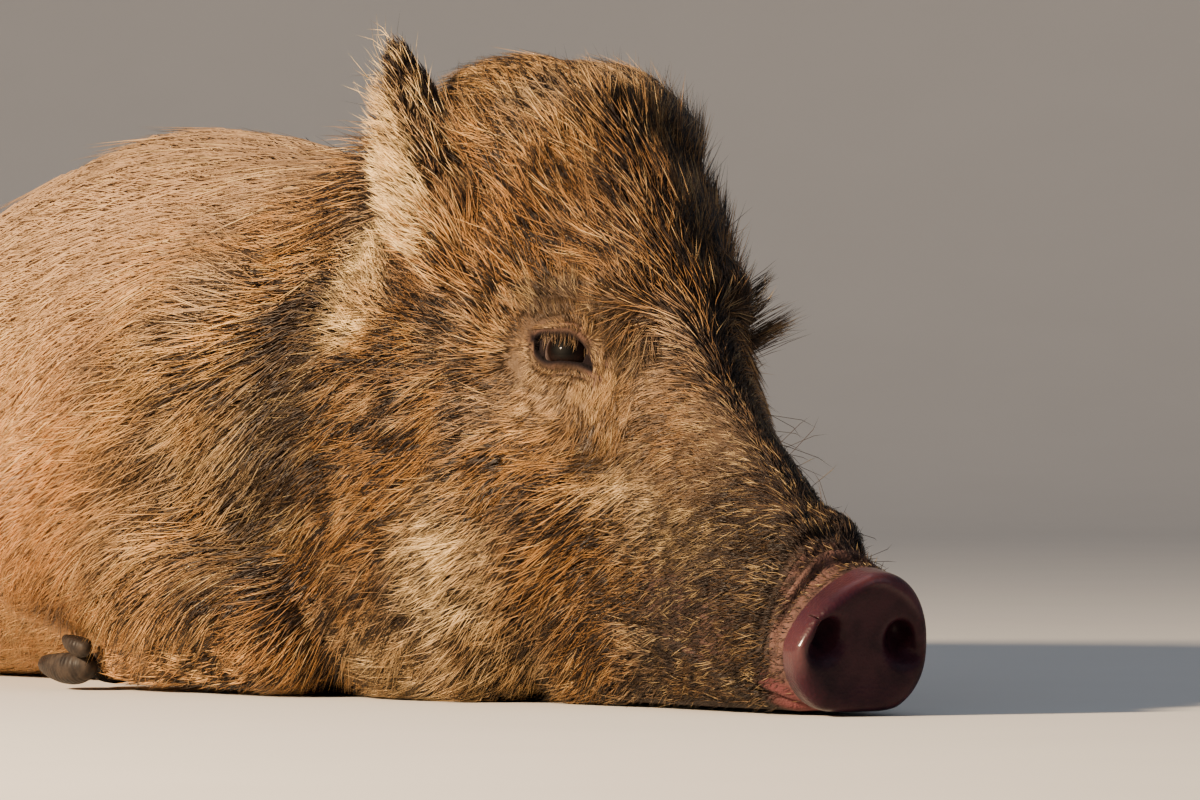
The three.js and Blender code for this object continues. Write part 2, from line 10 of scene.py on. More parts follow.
import bmesh
import bpy
import numpy as np
from bpy.props import FloatProperty, FloatVectorProperty, IntProperty, PointerProperty
from mathutils import Matrix, Vector
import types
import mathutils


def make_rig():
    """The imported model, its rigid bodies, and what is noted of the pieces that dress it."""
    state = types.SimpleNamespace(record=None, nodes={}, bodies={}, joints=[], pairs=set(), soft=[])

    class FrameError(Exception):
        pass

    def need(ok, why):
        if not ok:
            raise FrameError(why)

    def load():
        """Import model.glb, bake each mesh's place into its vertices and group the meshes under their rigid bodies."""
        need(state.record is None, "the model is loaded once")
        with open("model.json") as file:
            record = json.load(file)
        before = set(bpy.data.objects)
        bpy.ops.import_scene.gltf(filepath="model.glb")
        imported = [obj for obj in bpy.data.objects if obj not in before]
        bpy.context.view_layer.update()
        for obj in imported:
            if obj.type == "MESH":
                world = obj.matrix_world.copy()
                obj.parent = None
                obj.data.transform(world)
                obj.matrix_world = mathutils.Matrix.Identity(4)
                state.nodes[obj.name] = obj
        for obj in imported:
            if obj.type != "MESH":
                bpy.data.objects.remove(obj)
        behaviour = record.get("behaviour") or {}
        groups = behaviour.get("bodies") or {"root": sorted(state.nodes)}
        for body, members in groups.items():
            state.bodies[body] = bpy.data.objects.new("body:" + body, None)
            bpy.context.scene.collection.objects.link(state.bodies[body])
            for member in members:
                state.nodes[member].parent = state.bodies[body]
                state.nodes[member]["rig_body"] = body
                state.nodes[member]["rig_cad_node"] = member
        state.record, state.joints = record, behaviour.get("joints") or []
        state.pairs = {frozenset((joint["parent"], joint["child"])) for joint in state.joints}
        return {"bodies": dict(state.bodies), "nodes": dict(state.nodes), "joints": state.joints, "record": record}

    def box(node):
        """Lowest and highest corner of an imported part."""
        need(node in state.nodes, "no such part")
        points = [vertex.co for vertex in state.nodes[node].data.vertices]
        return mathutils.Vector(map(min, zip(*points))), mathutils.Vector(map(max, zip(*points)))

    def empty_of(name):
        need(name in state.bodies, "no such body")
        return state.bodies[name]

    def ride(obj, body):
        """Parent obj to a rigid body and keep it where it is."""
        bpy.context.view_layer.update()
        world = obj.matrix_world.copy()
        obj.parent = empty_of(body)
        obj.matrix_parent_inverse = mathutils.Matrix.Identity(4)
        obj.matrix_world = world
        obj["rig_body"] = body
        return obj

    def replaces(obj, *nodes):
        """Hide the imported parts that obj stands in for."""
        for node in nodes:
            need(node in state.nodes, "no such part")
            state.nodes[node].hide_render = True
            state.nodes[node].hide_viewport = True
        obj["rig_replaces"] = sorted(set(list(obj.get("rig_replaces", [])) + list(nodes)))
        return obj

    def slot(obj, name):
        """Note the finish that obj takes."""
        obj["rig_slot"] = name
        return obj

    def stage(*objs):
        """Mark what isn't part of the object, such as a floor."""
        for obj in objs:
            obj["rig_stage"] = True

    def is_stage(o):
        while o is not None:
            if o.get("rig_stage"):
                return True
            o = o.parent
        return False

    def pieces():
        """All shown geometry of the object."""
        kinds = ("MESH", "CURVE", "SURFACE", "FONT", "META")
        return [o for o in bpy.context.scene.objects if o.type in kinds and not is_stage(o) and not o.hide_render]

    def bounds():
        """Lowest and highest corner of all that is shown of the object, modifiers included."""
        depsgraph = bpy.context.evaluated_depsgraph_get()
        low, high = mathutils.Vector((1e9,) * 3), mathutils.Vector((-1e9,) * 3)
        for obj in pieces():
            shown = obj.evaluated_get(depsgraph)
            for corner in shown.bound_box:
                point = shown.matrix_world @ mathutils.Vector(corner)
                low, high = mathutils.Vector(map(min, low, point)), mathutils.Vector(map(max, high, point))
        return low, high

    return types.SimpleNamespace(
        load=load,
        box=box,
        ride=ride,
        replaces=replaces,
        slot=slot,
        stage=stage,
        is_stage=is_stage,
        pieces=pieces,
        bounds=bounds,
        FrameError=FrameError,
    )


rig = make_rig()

bl_info = {
    "name": "Wild boar at rest",
    "version": (1, 0, 0),
    "blender": (4, 5, 0),
    "location": "3D View > Sidebar > Boar",
    "description": "Skin, eyes, hooves and coat of bristles of a life-size boar",
    "category": "Object",
}

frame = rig.load()
CAD_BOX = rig.bounds()
MM = 0.001

# ---- numbers of the shape, in millimetres
SNOUT_X = 258.0  # face of the snout disc, in the head's frame
EYE = (38.0, 40.0, 162.0)  # centre of her left eye, in the head's frame
EYE_RADIUS = 13.5
RUMP_X = -806.0
NAPE = np.array((-70.0, 0.0, 30.0))  # where the head turns
HEAD_TURN = np.array(Matrix.Rotation(math.radians(-5), 3, "Z") @ Matrix.Rotation(math.radians(-2.5), 3, "X"))


def to_head(p):
    """Points of the trunk's frame, as rows x, y, z, in the head's frame."""
    return HEAD_TURN.T @ (p - NAPE[:, None]) + NAPE[:, None]


def from_head(p):
    """Points of the head's frame, as rows x, y, z, in the trunk's frame."""
    return HEAD_TURN @ (p - NAPE[:, None]) + NAPE[:, None]


def column(point):
    return np.array(point, np.float32)[:, None]


def box_middle(node):
    low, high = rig.box(node)
    return np.array((low + high) / 2) / MM


# From the field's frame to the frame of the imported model.
ORIGIN = box_middle("eye_left") - from_head(column(EYE))[:, 0]


# ---- field helpers
def profile(*points):
    """A smooth curve v(x) through a few (x, v) points."""
    xs, vs = np.array(points, float).T
    slope = np.gradient(vs)
    slope[1:-1] = (vs[2:] - vs[:-2]) / (xs[2:] - xs[:-2])
    slope[0] = (vs[1] - vs[0]) / (xs[1] - xs[0])
    slope[-1] = (vs[-1] - vs[-2]) / (xs[-1] - xs[-2])

    def value(x):
        i = np.clip(np.searchsorted(xs, x) - 1, 0, len(xs) - 2)
        span = xs[i + 1] - xs[i]
        t = np.clip((x - xs[i]) / span, 0, 1)
        ease = t * t * (3 - 2 * t)
        bend = slope[i] * t * (1 - t) ** 2 - slope[i + 1] * t * t * (1 - t)
        return (vs[i] + (vs[i + 1] - vs[i]) * ease + span * bend).astype(np.float32)

    return value


def smooth(low, high, x):
    """Nought below low, one above high, with a soft step between. Runs down where low is above high."""
    t = np.clip((x - low) / (high - low), 0, 1)
    return t * t * (3 - 2 * t)


def blend(a, b, k):
    """Joins two fields with a fillet of about k."""
    h = np.clip(0.5 + 0.5 * (b - a) / k, 0, 1)
    return b + (a - b) * h - k * h * (1 - h)


def meet(a, b, k):
    return -blend(-a, -b, k)


def carve(a, b, k):
    return meet(a, -b, k)


def ellipsoid(p, centre, radii):
    d = (p - column(centre)) / column(radii)
    q = np.sqrt((d * d).sum(0))
    g = np.sqrt(((d / column(radii)) ** 2).sum(0))
    return q * (q - 1) / np.maximum(g, 1e-6)


def limb(p, a, ra, b, rb):
    """A limb from a to b whose radius runs from ra to rb."""
    a, along = column(a), column(b) - column(a)
    t = np.clip(((p - a) * along).sum(0) / (along * along).sum(), 0, 1)
    return np.sqrt(((p - a - along * t) ** 2).sum(0)) - (ra + (rb - ra) * t)


def sections(p, top, bottom, half, taper, power):
    """A body of oval sections: top, bottom and half width along x, narrower towards the top by taper."""
    x, y, z = p
    t, b = top(x), bottom(x)
    rise = (t - b) / 2
    v = (z - (t + b) / 2) / rise
    w = half(x) * (1 - taper * np.clip(v, -1, 1))
    q = (np.abs(y / w) ** power + np.abs(v) ** power) ** (1 / power)
    return (q - 1) * np.minimum(w, rise)


def mirrored(p):
    return np.stack((p[0], np.abs(p[1]), p[2]))


def in_head(p):
    """Points in the head's frame, the factors that mirror them to her left, and so mirrored."""
    h, one = to_head(p), np.ones(p.shape[1])
    return h, np.stack((one, np.where(h[1] < 0, -1, 1), one)), mirrored(h)


def distance(p, centre):
    return np.sqrt(((p - column(centre)) ** 2).sum(0))


# ---- the outline of head, trunk and legs
face_top = profile(
    (-130, 262), (-70, 287), (-25, 296), (10, 280), (42, 240), (78, 196), (120, 151), (160, 120), (200, 92),
    (236, 73),
)
face_bottom = profile((-130, -10), (160, -6), (236, 2))
face_half = profile(
    (-130, 99), (-60, 89), (-10, 74), (40, 60), (80, 51), (120, 43), (160, 40), (200, 37), (236, 34)
)
back_line = profile(
    (RUMP_X, 118), (-735, 162), (-660, 188), (-592, 208), (-534, 229), (-480, 250), (-430, 269), (-375, 281),
    (-320, 278), (-260, 270), (-180, 263), (-20, 262),
)
belly_line = profile((RUMP_X, 16), (-700, -8), (-20, -8))
trunk_half = profile(
    (RUMP_X, 70), (-740, 128), (-650, 156), (-500, 168), (-380, 162), (-280, 150), (-190, 138), (-100, 114),
    (-20, 82),
)

SHOULDER, ELBOW, KNEE = (-205, 92, 142), (-276, 140, 78), (-122, 116, 35)
FORE_FETLOCK = (-222, 136, 17)
HIP, STIFLE, HOCK = (-668, 82, 104), (-560, 148, 80), (-728, 146, 42)
HIND_FETLOCK = (-626, 176, 21)


# What is added to the head and cut out of it: centre and radii of each ellipsoid, and how softly it joins.
FACE_ADDED = (
    ((26, 45, 106), (48, 22, 28), 26),  # cheekbone
    ((-6, 57, 72), (74, 36, 68), 26),  # jowl
    ((-50, 70, 48), (72, 44, 56), 30),  # ruff behind the cheek
    ((168, 27, 46), (42, 17, 22), 16),  # lip over the canine
    ((193, 13, 79), (22, 13, 14), 8),  # muscle of the snout
    ((38, 33, 193), (28, 9, 10), 24),  # brow
    ((-56, 25, 262), (46, 39, 34), 22),  # hair of the crown, between the ears
)
FACE_CUT = (
    ((45, 63, 165), (22, 13, 14), 10),  # eye hollow
    ((112, 62, 118), (46, 16, 16), 18),  # hollow before the cheekbone
    ((222, 46, 50), (14, 13, 30), 9),  # waist behind the disc
)


def face(q):
    f = meet(sections(q, face_top, face_bottom, face_half, 0.27, 2.3), q[0] - 238, 8)
    for centre, radii, soft in FACE_ADDED:
        f = blend(f, ellipsoid(q, centre, radii), soft)
    for centre, radii, soft in FACE_CUT:
        f = carve(f, ellipsoid(q, centre, radii), soft)
    return f


def head(q):
    chin = limb(q, (210, 0, 15), 19, (60, 0, 34), 52)
    return np.maximum(blend(face(q), chin, 18), -130 - q[0])


def barrel(p):
    f = sections(p, back_line, belly_line, trunk_half, 0.27, 2.1)
    return np.maximum(meet(f, RUMP_X - p[0], 60), p[0] + 10)


def shank_and_foot(p):
    """The slim lower ends of the legs."""
    fore = limb(p, (KNEE[0], KNEE[1], 22), 21, FORE_FETLOCK, 16)
    return fore, limb(p, (HOCK[0], HOCK[1] + 8, 31), 26, HIND_FETLOCK, 19)


def outline(p, q):
    """The outline out to the tips of the coat. p is a point mirrored to her left, q the same in the head."""
    fore_shank, hind_shank = shank_and_foot(p)
    f = blend(barrel(p), head(q), 46)
    f = blend(f, ellipsoid(p, (-275, 88, 138), (90, 58, 80)), 40)  # shoulder blade
    f = blend(f, ellipsoid(p, (-690, 66, 128), (76, 48, 46)), 40)  # haunch bone
    foreleg = blend(limb(p, SHOULDER, 64, ELBOW, 48), limb(p, ELBOW, 44, KNEE, 31), 24)
    f = blend(f, blend(foreleg, fore_shank, 6), 34)
    hindleg = blend(limb(p, HIP, 80, STIFLE, 58), limb(p, STIFLE, 54, HOCK, 30), 26)
    return blend(f, blend(hindleg, hind_shank, 12), 26)


# ---- what the skin adds or loses
face_depth = profile((-130, 10), (-60, 8), (0, 5.5), (60, 4), (120, 3), (180, 2), (240, 1.2))
TRUNK_DEPTH = 11.0
SOLE = 2.0  # the lowest skin lies this far above the floor


def coat_depth(p, q):
    """How far the skin lies under the outline."""
    depth = TRUNK_DEPTH + (face_depth(q[0]) - TRUNK_DEPTH) * smooth(-150, -100, q[0])
    depth = depth + 3 * smooth(215, 265, q[2]) * smooth(40, 0, q[0]) * smooth(-130, -100, q[0])
    depth = depth + (2.5 - depth) * smooth(46, 24, distance(q, EYE))
    fore_shank, hind_shank = shank_and_foot(p)
    slim = smooth(26, 6, np.minimum(fore_shank, hind_shank))
    return depth + (5 - depth) * slim


# Each ear is a pointed leaf rolled into a cup: its root, its tip and the way its hollow looks, in the
# head's frame for her left side. Her right ear is up and turned back; the left lies back.
EARS = {
    -1: ((-16, 67, 212), (-74, 87, 306), (-1, 0.12, 0)),
    1: ((-84, 72, 216), (-172, 92, 246), (-0.3, 0.9, -0.3)),
}
EAR_HALF_WIDTH = 28.0
EAR_END = 0.965  # the leaf is rounded off at this share of its length
EAR_CUP_RADIUS = 31.0


def ear_frame(side):
    """Root, length and the three directions up, across and into the hollow, on that side of the head."""
    flip = np.array((1, side, 1))
    root, tip, hollow = (np.array(v, float) * flip for v in EARS[side])
    length = np.linalg.norm(tip - root)
    up = (tip - root) / length
    into = hollow - up * (hollow @ up)
    into /= np.linalg.norm(into)
    return root, length, up, np.cross(up, into), into


def ear_leaf(h, side):
    """The ear's field, and how far along it a point is, in the head's own frame."""
    root, length, up, across, into = ear_frame(side)
    d = h - column(root)
    t, s, w = (column(up) * d).sum(0) / length, (column(across) * d).sum(0), (column(into) * d).sum(0)
    reach = np.clip(t, 0, 1)
    narrow = 1 - 0.9 * np.clip(0.18 - t, 0, 0.4)  # at the root
    half = EAR_HALF_WIDTH * (1.001 - reach) ** 0.72 * (1 + 0.35 * reach) * narrow
    cup = EAR_CUP_RADIUS - np.sqrt(np.maximum(EAR_CUP_RADIUS**2 - np.minimum(np.abs(s), 27) ** 2, 1))
    lean = 1 / np.sqrt(1 + (np.minimum(np.abs(s), 25) / EAR_CUP_RADIUS) ** 2)
    sheet = np.abs(w - cup + 6 * t * t) * lean - (3.6 - 1.1 * reach)
    edge = meet(sheet, np.abs(s) - half, 3)
    return meet(meet(edge, (t - EAR_END) * length, 3), (-0.2 - t) * length, 4), t


TAIL = [
    (-742, 0, 150), (-786, 2, 138), (-810, 8, 100), (-818, 22, 54), (-810, 46, 20), (-790, 74, 12),
    (-768, 92, 10),
]
TAIL_RADII = [11, 9, 7, 5.5, 4.5, 3.5, 2.5]


def tail_parts(p):
    return [limb(p, a, ra, b, rb) for a, ra, b, rb in zip(TAIL, TAIL_RADII, TAIL[1:], TAIL_RADII[1:])]


DISC_DEPTH = 22.0
DISC_TILT = math.radians(9)
DISC_HALF_WIDTH, DISC_HALF_HEIGHT = 34.0, 32.8
DISC_MIDDLE = (SNOUT_X - DISC_DEPTH, 0, 33.5)
DISC_PEAK, DISC_SKEW = 0.05, 0.2
DISC_CUT = 0.26  # how much its upper right corner is drawn in
NOSTRIL_SIDE, NOSTRIL_RISE = 17.0, 3.5


def in_disc(q):
    """Points of the head in the disc's frame: along its axis, across, and up its face."""
    d = q - column(DISC_MIDDLE)
    c, s = math.cos(DISC_TILT), math.sin(DISC_TILT)
    return np.stack((c * d[0] - s * d[2], d[1], s * d[0] + c * d[2]))


def disc_plate(h):
    """The disc's field, in the head's own frame: its top edge is a little higher on her left."""
    a, y, z = in_disc(h)
    z = np.where(z > 0, z / (1 + DISC_PEAK + DISC_SKEW * y / DISC_HALF_WIDTH), z)
    width = DISC_HALF_WIDTH * (1 - 0.05 * np.clip(z / 30, -1, 1))
    cut = 1 + DISC_CUT * np.clip(-y / width, 0, 1) * np.clip(z / DISC_HALF_HEIGHT, 0, 1)
    r = cut * (np.abs(y / width) ** 2.15 + np.abs(z / DISC_HALF_HEIGHT) ** 2.15) ** (1 / 2.15)
    hollow = 2.2 * smooth(1.0, 0.35, r) - 1.2 * smooth(26, 34, z)
    plate = meet((r - 1) * 32, a - (DISC_DEPTH - 1.2) + hollow, 8)
    return np.maximum(plate, -12 - a)


def nostril(q):
    """A slanting comma: a wide pit that runs out and down to a slit."""
    a, y, z = in_disc(q)
    y, z = y - NOSTRIL_SIDE, z - NOSTRIL_RISE
    bore = np.stack((a - DISC_DEPTH, y + 0.25 * (a - DISC_DEPTH), z + 0.2 * (a - DISC_DEPTH)))
    pit = ellipsoid(bore, (0, 0, 0.5), (17, 7.2, 9.0))
    slit = ellipsoid(bore, (0, 4.5, -5.5), (7, 5.5, 4.0))
    return blend(pit, slit, 5)


MOUTH_FRONT, MOUTH_CORNER = (236, 8), (108, 38)  # x, z ends of the line of the mouth


def above_mouth(q):
    """How far a point of the head lies above the line of the closed mouth, and how far along it."""
    (x0, z0), (x1, z1) = MOUTH_FRONT, MOUTH_CORNER
    t = (q[0] - x1) / (x0 - x1)
    return q[2] - (z1 + (z0 - z1) * t + 5 * np.sin(np.clip(t, 0, 1) * math.pi * 1.5)), t


def skin_field(p):
    """Nought on the skin, in the trunk's frame."""
    h = to_head(p).astype(np.float32)
    q, side = mirrored(h), mirrored(p)
    f = outline(side, q) + coat_depth(side, q)
    f = blend(f, disc_plate(h), 2.5)
    f = carve(f, nostril(q), 5)
    for ear_side in (-1, 1):
        f = blend(f, ear_leaf(h, ear_side)[0], 9)
    for part in tail_parts(p):
        f = blend(f, part, 4)
    return meet(f, SOLE - p[2], 3)


# ---- meshing the field
def steps(*stops):
    """Grid lines: (from, step, to, step, to ...)."""
    lines = [np.array([stops[0]], float)]
    for step, end in zip(stops[1::2], stops[2::2]):
        start = lines[-1][-1]
        count = max(1, round((end - start) / step))
        lines.append(np.linspace(start, end, count + 1)[1:])
    return np.concatenate(lines)


GRID_X = steps(-845, 5, -770, 10, -200, 4, 20, 4.2, 270)
GRID_Y = steps(-215, 3.5, 215)
GRID_Z = steps(-6, 3.5, 330)
CORNERS = np.array([(i, j, k) for i in (0, 1) for j in (0, 1) for k in (0, 1)])


def surface_net(field, axes):
    """Points and quads of the zero surface: a point in each crossed cell, a quad round each crossed edge."""
    _, ys, zs = axes
    plane = np.stack(np.meshgrid(ys, zs, indexing="ij")).reshape(2, -1).astype(np.float32)
    value = np.stack([
        field(np.vstack((np.full((1, plane.shape[1]), x, np.float32), plane))).reshape(len(ys), len(zs))
        for x in axes[0]
    ])
    inside = value < 0
    low = [slice(0, -1), slice(1, None)]
    at_corners = [inside[low[i], low[j], low[k]] for i, j, k in CORNERS]
    cells = np.argwhere(np.logical_or.reduce(at_corners) & ~np.logical_and.reduce(at_corners))
    total, count = np.zeros((len(cells), 3)), np.zeros(len(cells))
    unit_steps = np.eye(3, dtype=int)
    for corner in CORNERS:
        for bit in np.flatnonzero(corner == 0):
            va = value[tuple((cells + corner).T)]
            vb = value[tuple((cells + corner + unit_steps[bit]).T)]
            crossed = (va < 0) != (vb < 0)
            t = np.where(crossed, va / np.where(crossed, va - vb, 1), 0)
            place = [axes[d][cells[:, d] + corner[d]] for d in range(3)]
            ahead = axes[bit][cells[:, bit] + 1]
            place[bit] = place[bit] + (ahead - place[bit]) * t
            total += np.stack(place, 1) * crossed[:, None]
            count += crossed
    points = total / count[:, None]
    number = np.full(inside.shape, -1)
    number[tuple(cells.T)] = np.arange(len(cells))
    quads = []
    for bit, (u, v) in enumerate(((1, 2), (2, 0), (0, 1))):
        ahead = np.roll(inside, -1, bit)
        edges = np.argwhere(inside != ahead)
        start = inside[tuple(edges.T)]
        back_u, back_v = unit_steps[u], unit_steps[v]
        ring = [number[tuple((edges - back).T)] for back in (back_u + back_v, back_v, 0, back_u)]
        ring = np.stack(ring, 1)
        quads.append(np.where(start[:, None], ring, ring[:, ::-1]))
    return points, np.concatenate(quads)


def settle(field, points, rounds=3, reach=1.5):
    """Slides points along the field's slope onto its zero surface."""
    p = points.T.astype(np.float32)
    step = 0.35
    for _ in range(rounds):
        value = field(p)
        slope = np.stack([field(p + step * column(e)) - value for e in np.eye(3)]) / step
        move = -value * slope / np.maximum((slope * slope).sum(0), 0.3)
        long = np.sqrt((move * move).sum(0))
        p = p + move * np.minimum(1, reach / np.maximum(long, 1e-6))
    return p.T


# How a triangle is divided where each of its edges ab, bc, ca is halved: 3, 4 and 5 are the halfway points.
DIVISIONS = {
    0: [(0, 1, 2)],
    1: [(0, 3, 2), (3, 1, 2)],
    2: [(0, 1, 4), (0, 4, 2)],
    3: [(3, 1, 4), (0, 3, 4), (0, 4, 2)],
    4: [(0, 1, 5), (5, 1, 2)],
    5: [(0, 3, 5), (3, 1, 2), (3, 2, 5)],
    6: [(4, 2, 5), (0, 1, 4), (0, 4, 5)],
    7: [(0, 3, 5), (3, 1, 4), (5, 4, 2), (3, 4, 5)],
}


def edges_of(triangles):
    """Each edge once, and the three edges of each triangle."""
    pairs = np.sort(np.stack((triangles, np.roll(triangles, -1, 1)), 2).reshape(-1, 2), 1)
    edges, of = np.unique(pairs[:, 0] * (triangles.max() + 1) + pairs[:, 1], return_inverse=True)
    return np.stack(np.divmod(edges, triangles.max() + 1), 1), of.reshape(-1, 3)


def refined(points, triangles, longest):
    """Halves each edge that is longer than the length that longest gives at its middle."""
    edges, of = edges_of(triangles)
    middle = points[edges].mean(1)
    length = np.linalg.norm(points[edges[:, 0]] - points[edges[:, 1]], axis=1)
    halved = length > longest(middle)
    number = np.where(halved, len(points) + np.cumsum(halved) - 1, -1)
    corners = np.hstack((triangles, number[of]))
    case = (halved[of] * (1, 2, 4)).sum(1)
    parts = [corners[case == c][:, part] for c, parts in DIVISIONS.items() for part in parts]
    return np.vstack((points, middle[halved])), np.vstack(parts), halved.any()


def relaxed(points, triangles, share):
    """Moves each point towards the middle of its neighbours."""
    edges, _ = edges_of(triangles)
    both = np.vstack((edges, edges[:, ::-1]))
    count = np.bincount(both[:, 0], minlength=len(points))[:, None]
    total = np.stack([np.bincount(both[:, 0], points[both[:, 1], d], len(points)) for d in range(3)], 1)
    return points + share * (total / np.maximum(count, 1) - points)


def normals_of(points, triangles):
    a, b, c = (points[triangles[:, i]] for i in range(3))
    face_normal = np.cross(b - a, c - a)
    total = np.stack([
        sum(np.bincount(triangles[:, i], face_normal[:, d], len(points)) for i in range(3)) for d in range(3)
    ], 1)
    return total / np.maximum(np.linalg.norm(total, axis=1, keepdims=True), 1e-9)


# ---- lids, folds and wrinkles of the skin
def unit(*v):
    return np.array(v) / np.linalg.norm(v)


EYE_OUT = unit(0.50, 0.855, 0.13)  # the way her left eye looks out of its lids
EYE_AHEAD = unit(*(np.array((1, 0, 0)) - EYE_OUT[0] * EYE_OUT))
EYE_UP = np.cross(EYE_AHEAD, EYE_OUT)
LID_THICKNESS = 2.2
BEHIND_BALL = 1.4  # how far the skin in the slit lies under the eyeball's surface
SLIT_DEPTH = 3.2  # how deep the slit is beside the eyeball
LID_FLAT = 9.0  # beyond this the lids fall away in a straight line
LID_REACH = 34.0  # the lids' own shape ends this far from the middle of the eye
LID_BACK = 9.0  # and this far behind it
upper_lid = profile((-18, 4.4), (-14, 6.2), (-5, 6.7), (5, 6.5), (12, 3.0), (20, -7.2))
lower_lid = profile((-18, 4.4), (-16.5, -0.4), (-12, -4.0), (-5, -6.0), (2, -5.2), (11, -5.0), (20, -7.4))


def eye_place(q):
    """Points of the head, mirrored to her left, as distances ahead, up and out from the eye's middle."""
    d = q - column(EYE)
    return [(column(axis) * d).sum(0) for axis in (EYE_AHEAD, EYE_UP, EYE_OUT)]


def lid_gap(s, t):
    """About how far a place lies from the slit between the lids, negative inside it."""
    return np.maximum(np.maximum(t - upper_lid(s), lower_lid(s) - t), np.maximum(-18.5 - s, s - 20.5))


def bump(x, middle, width):
    return np.exp(-(((x - middle) / width) ** 2))


def lidded(q):
    """Raises the skin over each eye into two lids and sinks it in the slit between them."""
    s, t, out = eye_place(q)
    away = np.sqrt(s * s + t * t)
    near = (away < LID_REACH) & (out > -LID_BACK)
    s, t, out, away = s[near], t[near], out[near], away[near]
    radius = EYE_RADIUS + LID_THICKNESS
    dome = np.sqrt(np.maximum(radius**2 - np.minimum(away, LID_FLAT) ** 2, 0))
    dome = dome - 0.6 * np.maximum(away - LID_FLAT, 0)
    dome = dome + 1.0 * bump(s, 18, 7) * bump(t, -6, 7)  # the corner by the nose is long and full
    lid = -blend(-dome, -out, 6)
    gap = lid_gap(s, t)
    above = smooth(-1, 3, t - 0.5 * (upper_lid(s) + lower_lid(s)))
    lid = lid + 0.7 * bump(gap, 1.5, 1.3) + 0.6 * above * bump(gap, 2.6, 2.0)
    upper = 1.1 * bump(gap, 8.0 + 0.12 * s, 1.4) + 2.6 * bump(gap, 16.0 - 0.1 * s, 2.4)
    upper = upper + 0.8 * bump(gap, 4.8, 0.8)
    lower = bump(gap, 4.6, 0.9) + 0.8 * bump(gap, 8.0, 1.1)
    folds = -above * upper - (1 - above) * lower
    lid = lid + folds * smooth(-20, -9, s) * smooth(24, 12, s)
    ball = np.sqrt(np.maximum(EYE_RADIUS**2 - away**2, 0)) - BEHIND_BALL
    floor = ball + (lid - SLIT_DEPTH - ball) * smooth(10.0, 12.5, away)
    target = floor + (lid - floor) * smooth(-0.8, 0.5, gap)
    moved = q.copy()
    moved[:, near] += column(EYE_OUT) * (target - out) * smooth(LID_REACH, LID_REACH - 8, away)
    return moved


def wrinkles(q):
    """How deep the creases are: behind the disc, over and round the snout, and along the mouth."""
    u, v, w = q
    ring = u + 3.5 * smooth(60, 25, w) + 1.2 * np.sin(w / 6) - 2.0 * smooth(8, 30, v)
    depth = 2.6 * bump(ring, 233, 1.9) + 2.0 * bump(ring, 226, 1.6) + 1.3 * bump(ring, 219, 1.7)
    depth = depth - 0.9 * bump(ring, 229.5, 2.0) - 0.8 * bump(ring, 222.5, 2.0) + 0.5 * bump(ring, 212, 1.6)
    depth = depth * smooth(20, 34, w) * smooth(195, 212, u) * smooth(240, 234, u)
    above, t = above_mouth(q)
    lips = 3.2 * bump(above, 0, 1.7) - 0.8 * bump(above, 4.5, 2.5) - 0.8 * bump(above, -4, 2.5)
    return depth + lips * smooth(-0.04, 0.1, t) * smooth(1.02, 0.96, t) * smooth(8, 18, v)


# ---- the skin's mesh
def longest_edge(points):
    """The longest edge wanted at a place, in millimetres: shortest on the lids, then the disc and snout."""
    q = mirrored(to_head(points.T))
    s, t, out = eye_place(q)
    away = np.sqrt(s * s + t * t + np.minimum(out - 8, 0) ** 2)
    eye = 0.85 + 0.20 * np.maximum(away - 19, 0)
    a, y, z = in_disc(q)
    snout = 1.7 + 0.09 * np.maximum(225 - q[0], 0)
    pit = np.hypot(y - NOSTRIL_SIDE, z - NOSTRIL_RISE)
    pit = 1.2 + 0.25 * np.maximum(pit - 12, 0) + 0.3 * np.maximum(8 - a, 0)
    crown = np.where(q[2] > 205, 4.5, 6.5) + 0.2 * np.maximum(-110 - q[0], 0)
    above, t = above_mouth(q)
    lips = 1.5 + 0.5 * np.maximum(np.abs(above) - 3, 0) + 60 * np.maximum(-t, 0)
    return np.minimum.reduce([eye, np.maximum(snout, 1.7), pit, crown, lips])


MOST_DIVISIONS = 6
RELAXATION = 0.4  # the share of the way to its neighbours' middle that a point goes each time


def skin_surface():
    """Points and triangles of the skin in the trunk's frame."""
    points, quads = surface_net(skin_field, (GRID_X, GRID_Y, GRID_Z))
    points = settle(skin_field, points)
    triangles = np.vstack((quads[:, [0, 1, 2]], quads[:, [0, 2, 3]]))
    for _ in range(MOST_DIVISIONS):
        points, triangles, halved = refined(points, triangles, longest_edge)
        points = settle(skin_field, relaxed(points, triangles, RELAXATION), 2)
        if not halved:
            break
    _, sides, q = in_head(points.T)
    normals = HEAD_TURN.T @ normals_of(points, triangles).T
    q = lidded(q - wrinkles(q) * normals * sides)
    return from_head(q * sides).T, triangles


# ---- markings, bare places and the lie of the coat
def stroke(q, far, near, *corners):
    """Nought beyond far from the line through the corners, one nearer than near."""
    away = [limb(q, a, 0, b, 0) for a, b in zip(corners, corners[1:])]
    return smooth(far, near, np.min(away, 0))


def ear_marks(h):
    """Where an ear is dark, at its tip and along its inner edge, and pale, along its outer edge. The dark along the
    inner edge is partly dark hair and partly painted shade.
    """
    dark, pale = np.zeros((2, h.shape[1]))
    for side in (-1, 1):
        root, _, _, across, _ = ear_frame(side)
        leaf, reach = ear_leaf(h, side)
        aside = (column(outward_edge(across, side)) * (h - column(root))).sum(0)
        on_ear = smooth(9, 4, leaf) * smooth(-0.05, 0.15, reach)
        # The dark of the inner edge is partly dark hair and partly painted shade.
        dark = np.maximum(dark, on_ear * np.maximum(smooth(0.74, 0.88, reach), smooth(4, -14, aside)))
        pale = np.maximum(pale, 0.85 * on_ear * smooth(9, 23, aside) * smooth(0.9, 0.72, reach))
    return 0.85 * dark, pale


def outward_edge(across, side):
    """The way from the middle of an ear to its outer edge."""
    return across * np.sign(across @ np.array((-0.3, side, -0.3)))


